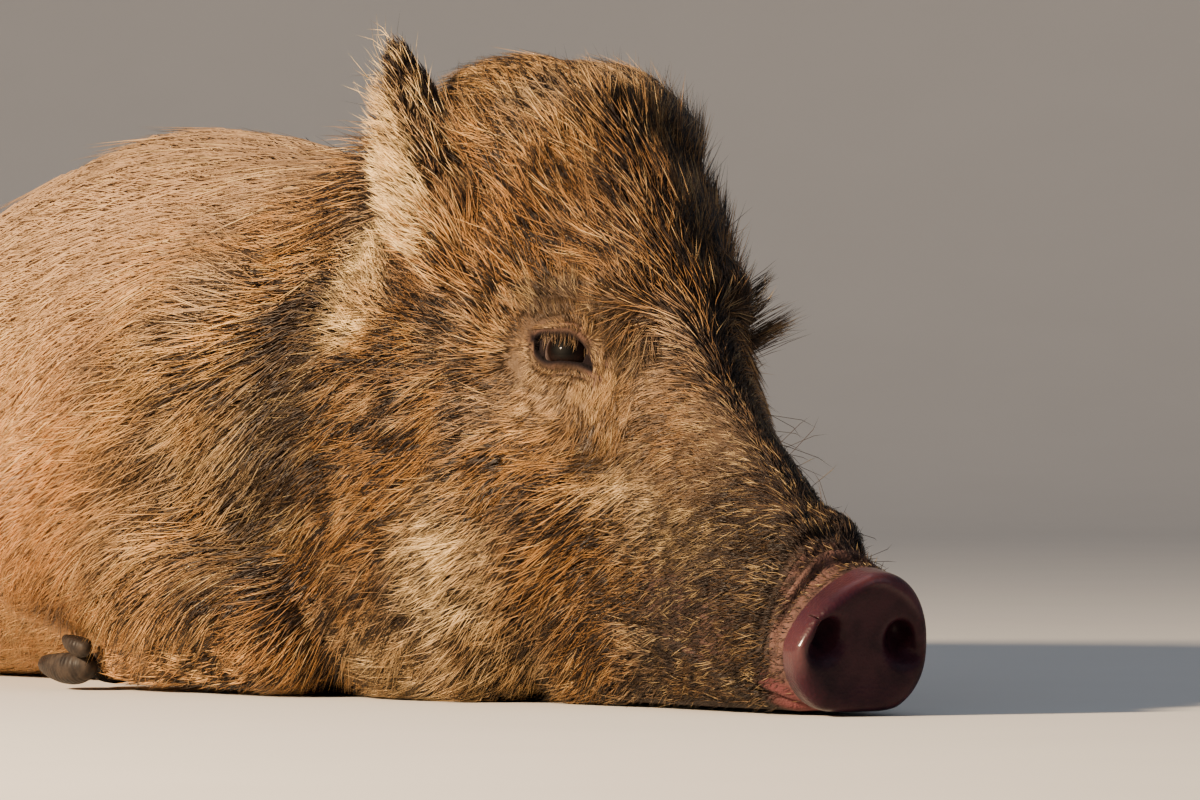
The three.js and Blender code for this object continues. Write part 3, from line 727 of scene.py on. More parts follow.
def markings(p):
    """Where the coat is pale, dark or rusty, from nought to one, at points of the trunk's frame. Part of the dark is
    painted shade: in the crease of the brow, the hollow before the cheekbone, the fold of the neck and along the ears'
    inner edges.
    """
    q, side = mirrored(to_head(p)), mirrored(p)
    (u, v, w), (x, y, z) = q, side
    on_head = smooth(-150, -95, u)

    cheek = np.sqrt(((u - 25) / 30) ** 2 + ((w - 64 + 0.3 * (u - 25)) / 42) ** 2)
    round_eye = np.sqrt(((u - 62) / 1.4) ** 2 + (v - 52) ** 2 + (w - 152) ** 2)
    pale = [
        0.85 * (smooth(1.35, 0.2, cheek) * smooth(30, 55, v)),
        0.6 * stroke(q, 28, 3, (92, 46, 106), (160, 38, 74)),  # the band along the muzzle
        0.22 * smooth(238, 272, w) * on_head,
        stroke(q, 26, 9, (-76, 84, 204), (-70, 92, 178)),  # behind the ear
        0.35 * smooth(46, 8, round_eye),
        0.5 * smooth(60, 20, w) * smooth(-80, -20, u) * smooth(90, 40, u),  # jaw
        0.3 * smooth(-60, -110, u) * smooth(215, 150, w) * smooth(-260, -150, x),  # neck
        0.35 * smooth(-200, -320, x) * smooth(240, 170, z),  # flank
    ]
    bridge = smooth(30, 8, v + 0.25 * np.abs(w - 120)) * smooth(70, 120, u)
    crown = 0.45 * smooth(60, 10, v) * smooth(150, 200, w) * smooth(300, 255, w)
    nape = np.sqrt((x + 262) ** 2 + (y - 12) ** 2 + (0.6 * (z - 268)) ** 2)
    dark = [
        0.7 * bridge * on_head,
        stroke(q, 13, 4, (27, 52, 183), (50, 43, 186), (76, 30, 168)),  # painted shade in the crease of the brow
        0.85 * stroke(q, 17, 6, (158, 14, 112), (182, 8, 98)),  # mud on the snout
        0.6 * stroke(q, 30, 8, (84, 50, 126), (108, 46, 120)),  # painted shade in the hollow before the cheekbone
        0.85 * stroke(q, 36, 8, (-104, 108, 168), (-84, 116, 104), (-110, 130, 50)),  # painted shade in the fold of the neck
        crown * on_head,
        0.55 * smooth(56, 16, nape),
        0.4 * smooth(236, 262, z) * smooth(-140, -220, x),  # ridge of the back
        0.85 * smooth(92, 150, u) + 0.3 * smooth(60, 90, w) * smooth(150, 190, u),  # snout
    ]
    forehead = smooth(160, 205, w) * smooth(-90, -30, u) * smooth(80, 50, u) * smooth(276, 240, w)
    shoulder = smooth(235, 110, z) * smooth(-150, -240, x)
    rusty = [0.5 * forehead * on_head, 0.9 * shoulder, stroke(side, 60, 25, KNEE, FORE_FETLOCK)]

    pale, dark, rusty = (np.maximum.reduce(parts) for parts in (pale, dark, rusty))
    inner_ear, outer_ear = ear_marks(to_head(p))
    dark = np.maximum(dark * (1 - outer_ear), inner_ear)
    return np.maximum(pale, outer_ear) * (1 - inner_ear), dark, rusty


def faded_places(p):
    """Where the coat goes over to grey: the far back, round the eye and the slope in front of it."""
    q = mirrored(to_head(p))
    u, v, w = q
    round_eye = smooth(56, 18, np.sqrt(((u - 60) / 1.3) ** 2 + (v - 50) ** 2 + (w - 154) ** 2))
    slope = stroke(q, 36, 12, (84, 36, 146), (136, 24, 112))
    return np.maximum(smooth(-140, -300, p[0]), 0.24 * np.maximum(round_eye, slope))


def open_gap(s, t, out):
    """The gap to the slit between the lids, and far from the eye or behind it a number past all uses."""
    return np.where((out > -6) & (np.hypot(s, t) < LID_REACH), lid_gap(s, t), 40)


def bare_places(p):
    """Where skin shows: disc, lips, the lids' rims, round the eye, by the canine and behind the disc."""
    q = mirrored(to_head(p))
    a, y, z = in_disc(q)
    disc = smooth(3.5, 5.5, a + 0.06 * z) * smooth(44, 42, np.hypot(y, z))
    above, t = above_mouth(q)
    lips = smooth(12, 5, np.abs(above - 2)) * smooth(0.80, 0.93, t) * smooth(1.12, 1.0, t) * (1 - disc)
    s, t, out = eye_place(q)
    gap = open_gap(s, t, out)
    canine = 0.6 * stroke(q, 26, 10, (140, 44, 52), (186, 42, 34))
    collar = smooth(214, 228, q[0] + 0.10 * (q[2] - 40) - 4) * (1 - disc)
    return disc, lips, smooth(4.0, 0.5, gap), smooth(12, 4, gap - 0.12 * s), canine, collar


def along_skin(lie, normals):
    """A field of directions laid into the skin and brought to length one."""
    lie = lie - normals * (lie * normals).sum(0)
    return lie / np.maximum(np.sqrt((lie * lie).sum(0)), 1e-3)


HOLLOW_RADIUS, BULGE_RADIUS = 60.0, 22.0  # the tightest curves, in millimetres, that bristles follow


def surface_curve(p, lie):
    """How fast the skin falls away along the lie of the coat, to the metre; below nought where it rises."""
    reach, step = 9.0, 0.5

    def slope(at):
        value = skin_field(at)
        rise = np.stack([skin_field(at + step * column(e)) - value for e in np.eye(3)])
        return rise / np.maximum(np.sqrt((rise * rise).sum(0)), 1e-6)

    turn = ((slope(p + reach * lie) - slope(p)) * lie).sum(0) / reach
    return np.clip(turn, -1 / HOLLOW_RADIUS, 1 / BULGE_RADIUS) / MM


# What grows where, each as length and width in millimetres, lift, and number to the square centimetre.
GROWTH = {
    "trunk": (40, 0.70, 0.34, 12.5),
    "shoulder": (24, 0.62, 0.30, 26),
    "ruff": (36, 0.64, 0.42, 28),
    "face": (19, 0.48, 0.34, 60),
    "forehead": (27, 0.48, 0.48, 66),
    "muzzle": (10.5, 0.42, 0.26, 88),
    "shank": (14, 0.8, 0.22, 32),
    "tail": (30, 0.9, 0.3, 60),
    "ear": (9, 0.5, 0.25, 62),
}


def growth(lie, length, width, lift, number):
    """What grows at each point, from GROWTH's units to metres. A measure is one number or one per point."""
    one = np.ones(lie.shape[1])
    return lie, length * MM * one, width * MM * one, lift * one, 1e4 * number * one


def coat_plan(p, normals):
    """What grows at points of the trunk's frame, and the share of each coat piece in it."""
    h, sides, q = in_head(p)
    side = mirrored(p)
    (u, _, w), (x, y, z) = q, side
    on_head = smooth(-120, -60, u)
    high = smooth(130, 195, w)
    low = smooth(190, 110, z) * smooth(-150, -210, x) * smooth(-460, -380, x)
    muzzle = smooth(75, 135, u)
    fore, hind = shank_and_foot(side)
    shank = smooth(16, 3, np.minimum(fore, hind)) * smooth(-60, -90, u)
    tail = smooth(7, 3, np.min(tail_parts(p), 0)) * smooth(-778, -788, x)
    leaves = {k: ear_leaf(h, k) for k in (-1, 1)}
    ear = np.max([smooth(4.5, 1.5, leaf) * smooth(0.0, 0.18, reach) for leaf, reach in leaves.values()], 0)
    s, t, out = eye_place(q)
    away = np.maximum(np.hypot(s, t), 1) + 60 * smooth(-8, -16, out)

    # The lie, as a sum of ways each with its weight.
    ways = [
        (on_head * (1 - high) * (1 - muzzle), (-0.85, 0.15, -0.48)),
        (on_head * muzzle, (-1, 0.1, -0.16)),
        (on_head * high * smooth(110, 60, u), (-0.7, 0.12, 0.62)),
        (on_head * smooth(240, 285, w) * 2.0, (-0.9, 0.0, 0.1)),
        ((1 - on_head) * smooth(-190, -120, x) * smooth(210, 150, z), (-0.72, 0.1, -0.64)),
        ((1 - on_head) * smooth(150, 210, z), (-0.95, 0.1, -0.15)),
        ((1 - on_head) * smooth(-120, -200, x), (-0.95, 0.1, -0.28)),
        ((1 - on_head) * low * 0.5, (-0.6, 0.0, -0.8)),
        (4 * smooth(16, 3, fore) * shank, np.array(FORE_FETLOCK) - KNEE),
        (4 * smooth(16, 3, hind) * shank, np.array(HIND_FETLOCK) - HOCK),
        (4 * tail * smooth(60, 40, z), np.array(TAIL[-1]) - TAIL[-3]),
        (4 * tail * smooth(40, 60, z), (-0.2, 0.1, -1)),
    ]
    lie = sum(weight * column(unit(*way)) for weight, way in ways)
    fan = (column(EYE_AHEAD) * (0.7 * s - 3) + column(EYE_UP) * t) / away
    lie = lie + 3.2 * fan * smooth(34, 16, away)
    corner = smooth(12, 18, s) * smooth(58, 36, s) * smooth(36, 20, np.abs(t + 6)) * smooth(-16, -8, out)
    lie = (lie + 2.4 * corner * column(0.4 * EYE_AHEAD - EYE_UP)) * sides
    for k, (leaf, reach) in leaves.items():
        lie = lie + 5 * smooth(6, 2, leaf) * smooth(0.02, 0.3, reach) * column(ear_frame(k)[2])
    lie = along_skin(lie, normals)

    # Each growth takes over from those before it by its weight.
    taken = (
        ("shoulder", low * (1 - on_head)), ("ruff", smooth(-250, -150, x)), ("face", on_head),
        ("forehead", on_head * high * smooth(100, 50, u)), ("muzzle", muzzle), ("shank", shank),
        ("tail", tail), ("ear", ear),
    )
    plan = np.array(GROWTH["trunk"])[:, None]
    for name, weight in taken:
        plan = plan + (np.array(GROWTH[name])[:, None] - plan) * weight
    span, girth, lift, crowd = plan
    span = span + 20 * smooth(60, 15, y) * smooth(-180, -260, x) * smooth(180, 230, z)
    lift = lift + 0.1 * smooth(255, 290, w) * on_head
    mane = smooth(205, 250, w) * smooth(15, -60, u) * smooth(-160, -120, u) * (1 - ear)
    span, lift = span + 6 * mane, lift + 0.75 * mane
    beard = smooth(60, 20, w) * smooth(125, 85, u) * on_head
    span, girth = span + 10 * beard, girth + 0.08 * beard
    bald = smooth(46, 24, away)  # short fine hair round the eyes
    span, girth, lift = span * (1 - 0.64 * bald), girth * (1 - 0.4 * bald), lift * (1 - 0.4 * bald)
    crowd = crowd * (1 + 1.3 * bald) * (1 + 1.1 * smooth(26, 15, away))
    disc, lips, _, _, canine, collar = bare_places(p)
    gap = np.where(away < LID_REACH, lid_gap(s, t), LID_REACH)
    thin = (1 - disc) * (1 - 0.95 * lips) * (gap > 2.2) * (1 - 0.6 * canine) * (1 - 0.7 * collar)
    crowd = crowd * thin * smooth(3, 9, z)
    span = span * (1 - 0.35 * canine) * (1 - 0.5 * collar)
    body = (
        ("legs", shank), ("tail", tail), ("ears", ear), ("muzzle", on_head * (u > 91)),
        ("face", (u > -21) * (w < 171)), ("forehead", (u > -60) * (w > 171)),
        ("ruff", (x > -165) * (w < 150)), ("neck", x > -205), ("shoulder", x > -345), ("flank", x > -520),
        ("rump", x < 0),
    )
    share, left = {}, np.ones(p.shape[1])
    for name, place in body:
        share[name] = left * (place > 0.5)
        left = left - share[name]
    return growth(lie, span, girth, lift, crowd), share


def sparse_hair(p, normals):
    """The hairs that stand apart from the coat: the name, the markings and the plan of each growth."""
    h, sides, q = in_head(p)
    u, _, w = q
    far = h[1] > 0
    s, t, out = eye_place(q)
    gap = open_gap(s, t, out)
    above = t > 0.5 * (upper_lid(s) + lower_lid(s))
    ahead, up, outward = (column(axis) * sides for axis in (EYE_AHEAD, EYE_UP, EYE_OUT))

    def laid(*way):
        return along_skin(column(way) * sides, normals)

    rim = smooth(3.4, 2.6, gap) * smooth(0.4, 0.9, gap) * above * smooth(-15, -10, s) * smooth(16, 8, s)
    lash = np.where(far, outward + 0.35 * up - 0.1 * ahead, 0.62 * outward - 0.8 * up + 0.36 * ahead)
    length, width, number = (np.where(far, *pair) for pair in ((17, 8.5), (0.3, 0.16), (200, 110)))
    yield "lashes", (0.25, 0.4, 0.0), growth(lash, length, width, 0, rim * number)

    # Bristles over the far eye only, with all-dark marks: painted shade, for the brow of the eye on the shadowed side.
    brush = smooth(20, 12, np.sqrt((s + 2) ** 2 + (t - 16) ** 2)) * far * (out > -6)
    yield "brow", (0.0, 1.0, 0.0), growth(outward + 0.45 * up + 0.1 * ahead, 22, 0.34, 0, 26 * brush)

    lip = stroke(q, 34, 16, (150, 40, 60), (214, 30, 62))
    chin = stroke(q, 24, 10, (100, 30, 0), (190, 20, 0))
    bridge = stroke(q, 26, 12, (96, 34, 128), (214, 10, 84))
    whiskers = np.maximum(lip + 0.5 * chin, 0.7 * bridge) * smooth(224, 214, u)
    lie = laid(-0.7, 0, -0.5) * 0.9 + normals * 0.65
    yield "whiskers", (0.0, 1.0, 0.0), growth(lie, 26, 0.34, 0.3, 0.55 * whiskers)

    crown = smooth(225, 262, w) * smooth(-130, -90, u) + 0.12 * smooth(170, 210, w) * smooth(70, 40, u)
    yield "stray", (0.95, 0.0, 0.0), growth(laid(-0.9, 0.1, 0.1), 24, 0.3, 0.24, 3.4 * crown)

    fringe, lie = 0, 0
    for side in (-1, 1):
        root, length, along, across, _ = ear_frame(side)
        outer = column(outward_edge(across, side))
        t, s = ((column(way) * (h - column(root))).sum(0) for way in (along, outer[:, 0]))
        edge = smooth(6, 3, ear_leaf(h, side)[0]) * smooth(8, 14, s)
        edge = edge * smooth(-0.1, 0.1, t / length) * smooth(1.02, 0.9, t / length)
        lie = lie + edge * (0.9 * column(along) + 0.75 * outer)
        fringe = np.maximum(fringe, edge)
    lie = lie + 1e-3 * normals
    yield "fringe", (1.0, 0.0, 0.0), growth(lie, 15 - 7 * smooth(282, 300, w), 0.36, 0.2, 60 * fringe)


# ---- writing node trees and meshes
def shown(sockets, key):
    """A socket of those that are in use: by its place among them, or by its name."""
    used = [s for s in sockets if s.enabled]
    return used[key] if isinstance(key, int) else next(s for s in used if s.name == key)


class Nodes:
    """Writes nodes into a tree. An input is given as a value or as the socket that feeds it."""

    def __init__(self, tree):
        self.tree = tree

    def add(self, kind, inputs=None, **settings):
        node = self.tree.nodes.new(kind)
        for name, value in settings.items():
            setattr(node, name, value)
        for key, value in (inputs or {}).items():
            socket = shown(node.inputs, key)
            if isinstance(value, bpy.types.NodeSocket):
                self.tree.links.new(value, socket)
            else:
                socket.default_value = value
        return node

    def out(self, kind, inputs=None, output=0, **settings):
        return shown(self.add(kind, inputs, **settings).outputs, output)

    def math(self, operation, *values, clamp=False):
        return self.out("ShaderNodeMath", dict(enumerate(values)), operation=operation, use_clamp=clamp)

    def times(self, value, *factors):
        for factor in factors:
            value = self.math("MULTIPLY", value, factor)
        return value

    def plus(self, a, b, clamp=False):
        return self.math("ADD", a, b, clamp=clamp)

    def minus(self, a, b):
        return self.math("SUBTRACT", a, b)

    def vector(self, operation, a, b):
        inputs = {0: a, "Scale" if operation == "SCALE" else 1: b}
        return self.out("ShaderNodeVectorMath", inputs, operation=operation)

    def combined(self, **parts):
        return self.out("ShaderNodeCombineXYZ", parts)

    def parts(self, vector):
        return self.add("ShaderNodeSeparateXYZ", {"Vector": vector}).outputs

    def spread(self, value, low, high, to_low=0.0, to_high=1.0, linear=False):
        """Value from low..high to to_low..to_high, with a soft step or in a straight line."""
        inputs = {"Value": value, "From Min": low, "From Max": high, "To Min": to_low, "To Max": to_high}
        kind = "LINEAR" if linear else "SMOOTHSTEP"
        return self.out("ShaderNodeMapRange", inputs, interpolation_type=kind)

    def mix(self, factor, a, b):
        """From one colour to another, each as a socket or as red, green and blue."""
        ends = [(*end, 1) if isinstance(end, tuple) else end for end in (a, b)]
        return self.out("ShaderNodeMix", {0: factor, 1: ends[0], 2: ends[1]}, data_type="RGBA")

    def noise(self, vector, scale, detail=4.0, roughness=0.55):
        inputs = {"Vector": vector, "Scale": scale, "Detail": detail, "Roughness": roughness}
        return self.out("ShaderNodeTexNoise", inputs)

    def cells(self, vector, scale, output="Distance"):
        return self.out("ShaderNodeTexVoronoi", {"Vector": vector, "Scale": scale}, output=output)

    def bump(self, strength, distance, height):
        return self.out("ShaderNodeBump", {"Strength": strength, "Distance": distance, "Height": height})

    def object_place(self):
        return self.out("ShaderNodeTexCoord", output="Object")

    def attribute(self, name, output="Fac"):
        return self.out("ShaderNodeAttribute", output=output, attribute_name=name)


def write_attribute(mesh, name, values):
    """Sets a point attribute of a mesh from an array with a number or a vector for each point."""
    values = np.ascontiguousarray(values, np.float32)
    kind, field = ("FLOAT", "value") if values.ndim == 1 else ("FLOAT_VECTOR", "vector")
    attribute = mesh.attributes.get(name) or mesh.attributes.new(name, kind, "POINT")
    attribute.data.foreach_set(field, values.ravel())


def link(thing):
    bpy.context.scene.collection.objects.link(thing)
    return thing


def shade_smooth(mesh):
    mesh.polygons.foreach_set("use_smooth", np.ones(len(mesh.polygons), bool))


def new_piece(name, mesh, material, slot, *replaced):
    """Links a finished mesh as a piece that rides on the boar's one body."""
    piece = link(bpy.data.objects.new(name, mesh))
    if not mesh.materials:
        mesh.materials.append(material)
    shade_smooth(mesh)
    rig.ride(piece, "root")
    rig.slot(piece, slot)
    if replaced:
        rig.replaces(piece, *replaced)
    return piece


def mesh_of(name, points, faces):
    """A mesh from rows of points in the trunk's frame, in millimetres."""
    mesh = bpy.data.meshes.new(name)
    mesh.from_pydata(((points + ORIGIN) * MM).tolist(), [], [list(f) for f in faces])
    mesh.validate()
    return mesh


def new_material(name, **finish):
    """A material with its Principled shader's plain numbers set. Returns it, its writer and the shader."""
    material = bpy.data.materials.new(name)
    material.use_nodes = True
    nodes = Nodes(material.node_tree)
    shader = material.node_tree.nodes["Principled BSDF"]
    for socket, value in finish.items():
        shader.inputs[socket.replace("_", " ")].default_value = value
    return material, nodes, shader


def feed(nodes, shader, **sockets):
    for name, source in sockets.items():
        nodes.tree.links.new(source, shader.inputs[name.replace("_", " ")])


# ---- shared shader group
MARKINGS = "Boar markings"


def markings_group():
    """The colours of hair and of the skin under it, from the markings that both carry."""
    tree = bpy.data.node_groups.new(MARKINGS, "ShaderNodeTree")
    tree.interface.new_socket("Marks", in_out="INPUT", socket_type="NodeSocketVector")
    tree.interface.new_socket("Faded", in_out="INPUT", socket_type="NodeSocketFloat")
    for label in ("Dark", "Golden", "Pale", "Rusty", "Grey"):
        socket = tree.interface.new_socket(label, in_out="INPUT", socket_type="NodeSocketColor")
        socket.default_value = (*getattr(bpy.context.scene.boar_coat, label.lower()), 1)
    for label, kind in (("Tips", "Color"), ("Roots", "Color"), ("Pale", "Float")):
        tree.interface.new_socket(label, in_out="OUTPUT", socket_type="NodeSocket" + kind)
    nodes = Nodes(tree)
    given = nodes.add("NodeGroupInput").outputs
    pale, dark, rusty = nodes.parts(given["Marks"])
    where = nodes.object_place()
    patch = nodes.noise(where, 22.0, 3.0)
    streak = nodes.noise(where, 130.0, 2.0)
    body = nodes.mix(nodes.spread(patch, 0.35, 0.68), given["Golden"], given["Grey"])
    body = nodes.mix(given["Faded"], body, given["Grey"])
    body = nodes.mix(rusty, body, given["Rusty"])
    pale = nodes.times(pale, nodes.spread(nodes.noise(where, 60.0, 3.0), 0.35, 0.6, 0.5, 1.0))
    body = nodes.mix(pale, body, given["Pale"])
    deep = nodes.plus(dark, nodes.spread(streak, 0.48, 0.68, 0.0, 0.5), clamp=True)
    tips = nodes.mix(nodes.times(deep, 0.88), body, given["Dark"])
    roots = nodes.mix(nodes.times(pale, 0.08), given["Dark"], given["Grey"])
    roots = nodes.mix(nodes.times(given["Faded"], 0.62), roots, given["Grey"])
    nodes.add("NodeGroupOutput", {"Tips": tips, "Roots": roots, "Pale": pale})
    return tree


def use_markings(nodes, faded):
    """The coat's colours at a place, from the markings written there."""
    group = nodes.add("ShaderNodeGroup", node_tree=bpy.data.node_groups.get(MARKINGS) or markings_group())
    nodes.tree.links.new(nodes.attribute("marks", "Vector"), group.inputs["Marks"])
    nodes.tree.links.new(faded, group.inputs["Faded"])
    return group.outputs


# ---- materials
LID_RIM = (0.007, 0.004, 0.005)  # colour of the lids' dark rims
BLEACHED = (1.0, 0.72, 0.34)  # colour of the lightest tips


def skin_material():
    material, nodes, shader = new_material("boar_skin", Specular_IOR_Level=0.18)
    faded, where = nodes.attribute("faded"), nodes.object_place()
    coat = use_markings(nodes, faded)
    lips, rim, soft = nodes.parts(nodes.attribute("bare", "Vector"))
    look = bpy.context.scene.boar_skin
    blotch = nodes.spread(nodes.noise(where, 90.0), 0.38, 0.6)
    flesh = nodes.mix(blotch, tuple(look.flesh), tuple(look.flesh_dark))
    under = nodes.mix(nodes.spread(faded, 0.0, 1.0, 0.045, 0.62), coat["Roots"], coat["Tips"])
    tint = nodes.mix(nodes.times(soft, 0.85), under, flesh)
    tint = nodes.mix(lips, tint, tuple(look.lips))
    tint = nodes.mix(rim, tint, LID_RIM)
    lines = nodes.noise(where, 420.0, 3.0)
    height = nodes.plus(nodes.times(nodes.cells(where, 900.0), 0.5), lines)
    rough = nodes.plus(nodes.spread(lines, 0.3, 0.7, 0.62, 0.82), nodes.times(rim, 0.4), clamp=True)
    feed(nodes, shader, Base_Color=tint, Roughness=rough, Normal=nodes.bump(0.75, 0.0008, height))
    return material


def snout_material():
    """The bare, damp leather of the disc: purple-brown, rosier round its rim."""
    finish = {"Specular_IOR_Level": 0.1, "Coat_Roughness": 0.14, "Subsurface_Weight": 0.08}
    material, nodes, shader = new_material("boar_snout", **finish)
    look = bpy.context.scene.boar_skin
    where, rim = nodes.object_place(), nodes.attribute("rosy")
    cloud = nodes.noise(where, 60.0)
    tint = nodes.mix(nodes.spread(cloud, 0.35, 0.7), tuple(look.disc), tuple(look.disc_dark))
    edge = nodes.times(rim, nodes.spread(cloud, 0.2, 0.55, 0.4, 1.0))
    tint = nodes.mix(edge, tint, tuple(look.disc_rim))
    height = nodes.plus(nodes.cells(where, 620.0), nodes.times(nodes.noise(where, 260.0), 1.2))
    feed(nodes, shader, Base_Color=tint, Roughness=nodes.spread(cloud, 0.3, 0.7, 0.3, 0.5))
    wet = nodes.spread(rim, 0.0, 0.8, 0.05, 0.45)
    feed(nodes, shader, Coat_Weight=wet, Normal=nodes.bump(0.35, 0.0005, height))
    return material


def hair_material():
    """Bristles: dark at the root, light towards the tip, with some dark all along."""
    material, nodes, shader = new_material("boar_bristle", Roughness=0.5, Specular_IOR_Level=0.3)
    faded, along, tone = (nodes.attribute(name) for name in ("faded", "along", "tone"))
    coat = use_markings(nodes, faded)
    lightened = nodes.plus(nodes.plus(tone, nodes.times(coat["Pale"], 0.28)), nodes.times(faded, 0.40))
    light = nodes.spread(lightened, 0.44, 0.68)
    reach = nodes.minus(0.78, nodes.times(coat["Pale"], 0.36))
    tip = nodes.spread(along, 0.16, reach, linear=True)
    bleached = nodes.mix(nodes.spread(tone, 0.70, 0.97, 0.0, 0.65), coat["Tips"], BLEACHED)
    tint = nodes.mix(nodes.times(tip, light), coat["Roots"], bleached)
    feed(nodes, shader, Base_Color=tint, Roughness=nodes.spread(tone, 0.0, 1.0, 0.38, 0.62))
    return material


def eye_material():
    """A wet dark eye: brown iris with an oblong pupil, pale white at the back."""
    finish = {"Roughness": 0.55, "Coat_Weight": 0.05, "Coat_Roughness": 0.03, "Specular_IOR_Level": 0.05}
    material, nodes, shader = new_material("boar_eye", **finish)
    across, up, _ = nodes.parts(nodes.attribute("gaze", "Vector"))

    def from_middle(x):
        return nodes.math("SQRT", nodes.plus(nodes.times(x, x), nodes.times(up, up)))

    where = nodes.object_place()
    fibre = nodes.spread(nodes.noise(where, 1500.0, 3.0), 0.3, 0.7)
    iris = nodes.mix(fibre, (0.0018, 0.0011, 0.001), (0.008, 0.0026, 0.0018))
    vein = nodes.spread(nodes.noise(where, 500.0), 0.35, 0.7)
    white = nodes.mix(vein, (0.11, 0.085, 0.078), (0.05, 0.032, 0.030))
    back = nodes.times(nodes.spread(from_middle(across), 8.6, 12.2), nodes.spread(across, 2.0, 8.0))
    pupil = nodes.spread(from_middle(nodes.times(across, 0.72)), 7.0, 3.5)
    tint = nodes.mix(pupil, nodes.mix(back, iris, white), (0.001, 0.001, 0.001))
    feed(nodes, shader, Base_Color=tint)
    return material


def horn_material():
    material, nodes, shader = new_material("boar_horn", Specular_IOR_Level=0.15)
    where = nodes.object_place()
    wave = {"Vector": where, "Scale": 130.0, "Distortion": 3.0, "Detail": 2.0}
    rings = nodes.out("ShaderNodeTexWave", wave)
    cloud = nodes.noise(where, 160.0, 5.0)
    tint = nodes.mix(nodes.spread(cloud, 0.35, 0.7), (0.014, 0.011, 0.010), (0.042, 0.031, 0.024))
    bump = nodes.bump(0.5, 0.0006, nodes.plus(nodes.times(rings, 0.6), cloud))
    feed(nodes, shader, Base_Color=tint, Roughness=nodes.spread(cloud, 0.3, 0.7, 0.42, 0.7), Normal=bump)
    return material


# ---- settings
def colour(name, description, value):
    settings = {"subtype": "COLOR", "default": value, "min": 0, "max": 1}
    return FloatVectorProperty(name=name, description=description, **settings)


def number(name, description, default, **limits):
    return FloatProperty(name=name, description=description, default=default, **limits)


class BoarSkinSettings(bpy.types.PropertyGroup):
    flesh: colour("Bare skin", "Colour of the skin round the eyes and lips", (0.120, 0.062, 0.050))
    flesh_dark: colour("Bare skin, dark", "Its darker blotches", (0.026, 0.013, 0.011))
    lips: colour("Lips", "Colour of the lips below the disc", (0.10, 0.030, 0.032))
    disc: colour("Disc", "Colour of the snout disc", (0.026, 0.0078, 0.014))
    disc_dark: colour("Disc, dark", "Its darker clouds", (0.010, 0.0034, 0.0075))
    disc_rim: colour("Disc rim", "Its rosy rim", (0.050, 0.016, 0.020))


class BoarCoatSettings(bpy.types.PropertyGroup):
    dark: colour("Dark", "Roots and dark bristles", (0.016, 0.010, 0.008))
    golden: colour("Golden", "Bristle tips of the face", (0.68, 0.33, 0.085))
    pale: colour("Pale", "Cheek patch, band and ruff", (1.0, 0.74, 0.36))
    rusty: colour("Rusty", "Forehead, shoulder and knees", (0.84, 0.39, 0.105))
    grey: colour("Grey", "Back, flanks and round the eyes", (0.51, 0.32, 0.178))
    crowd: number("Density", "Share of the full number of bristles", 1.0, min=0.01)
    length: number("Length", "Factor on the bristles' length", 1.0, min=0.1)
    girth: number("Width", "Factor on the bristles' width", 1.0, min=0.1)
    clump: number("Clump size", "Size of the tufts on the face", 0.009, unit="LENGTH", min=0.001)
    seed: IntProperty(name="Seed", description="Seed of everything random in the coat", default=7)


class BoarStageSettings(bpy.types.PropertyGroup):
    lens: number("Lens", "Focal length of the camera, in millimetres", 326.1)
    distance: number("Distance", "Camera to head", 5.0, unit="LENGTH")
    azimuth: number("Azimuth", "Camera's turn to her right from ahead", math.radians(33), subtype="ANGLE")
    height: number("Height", "Camera above the floor", 0.184, unit="LENGTH")
    key: number("Key light", "Power of the warm key light", 280.0)
    fill: number("Fill light", "Power of each of the two cool lights", 7.0)


# ---- pieces
FLESH = (
    "head", "lower_jaw", "neck", "chest", "belly", "rump", "tail", "snout_disc", "ear_left", "ear_right",
    "foreleg_left", "foreleg_right", "hindleg_left", "hindleg_right",
)


class BOAR_OT_skin(bpy.types.Operator):
    """Makes the one skin of head, trunk, legs, ears, tail and snout disc"""

    bl_idname = "boar.skin"
    bl_label = "Skin"

    def execute(self, context):
        points, triangles = skin_surface()
        mesh = mesh_of("skin", points, triangles)
        p = points.T
        disc, lips, rim, soft, canine, collar = bare_places(p)
        write_attribute(mesh, "marks", np.stack(markings(p), 1))
        write_attribute(mesh, "faded", faded_places(p))
        flesh = np.maximum.reduce([0.8 * soft, canine, collar])
        write_attribute(mesh, "bare", np.stack((lips, rim, flesh), 1))
        _, y, z = in_disc(to_head(p))
        write_attribute(mesh, "rosy", smooth(27, 33, np.hypot(y, z)) * smooth(-6, 14, z - 0.5 * y))
        mesh.materials.append(skin_material())
        mesh.materials.append(snout_material())
        on_disc = (disc[triangles].mean(1) > 0.5).astype(np.int32)
        mesh.polygons.foreach_set("material_index", on_disc)
        new_piece("skin", mesh, None, "coat", *FLESH)
        return {"FINISHED"}


EYE_RINGS, EYE_SECTORS = 48, 64
CORNEA = 0.25  # height of the clear bulge over the iris, in millimetres


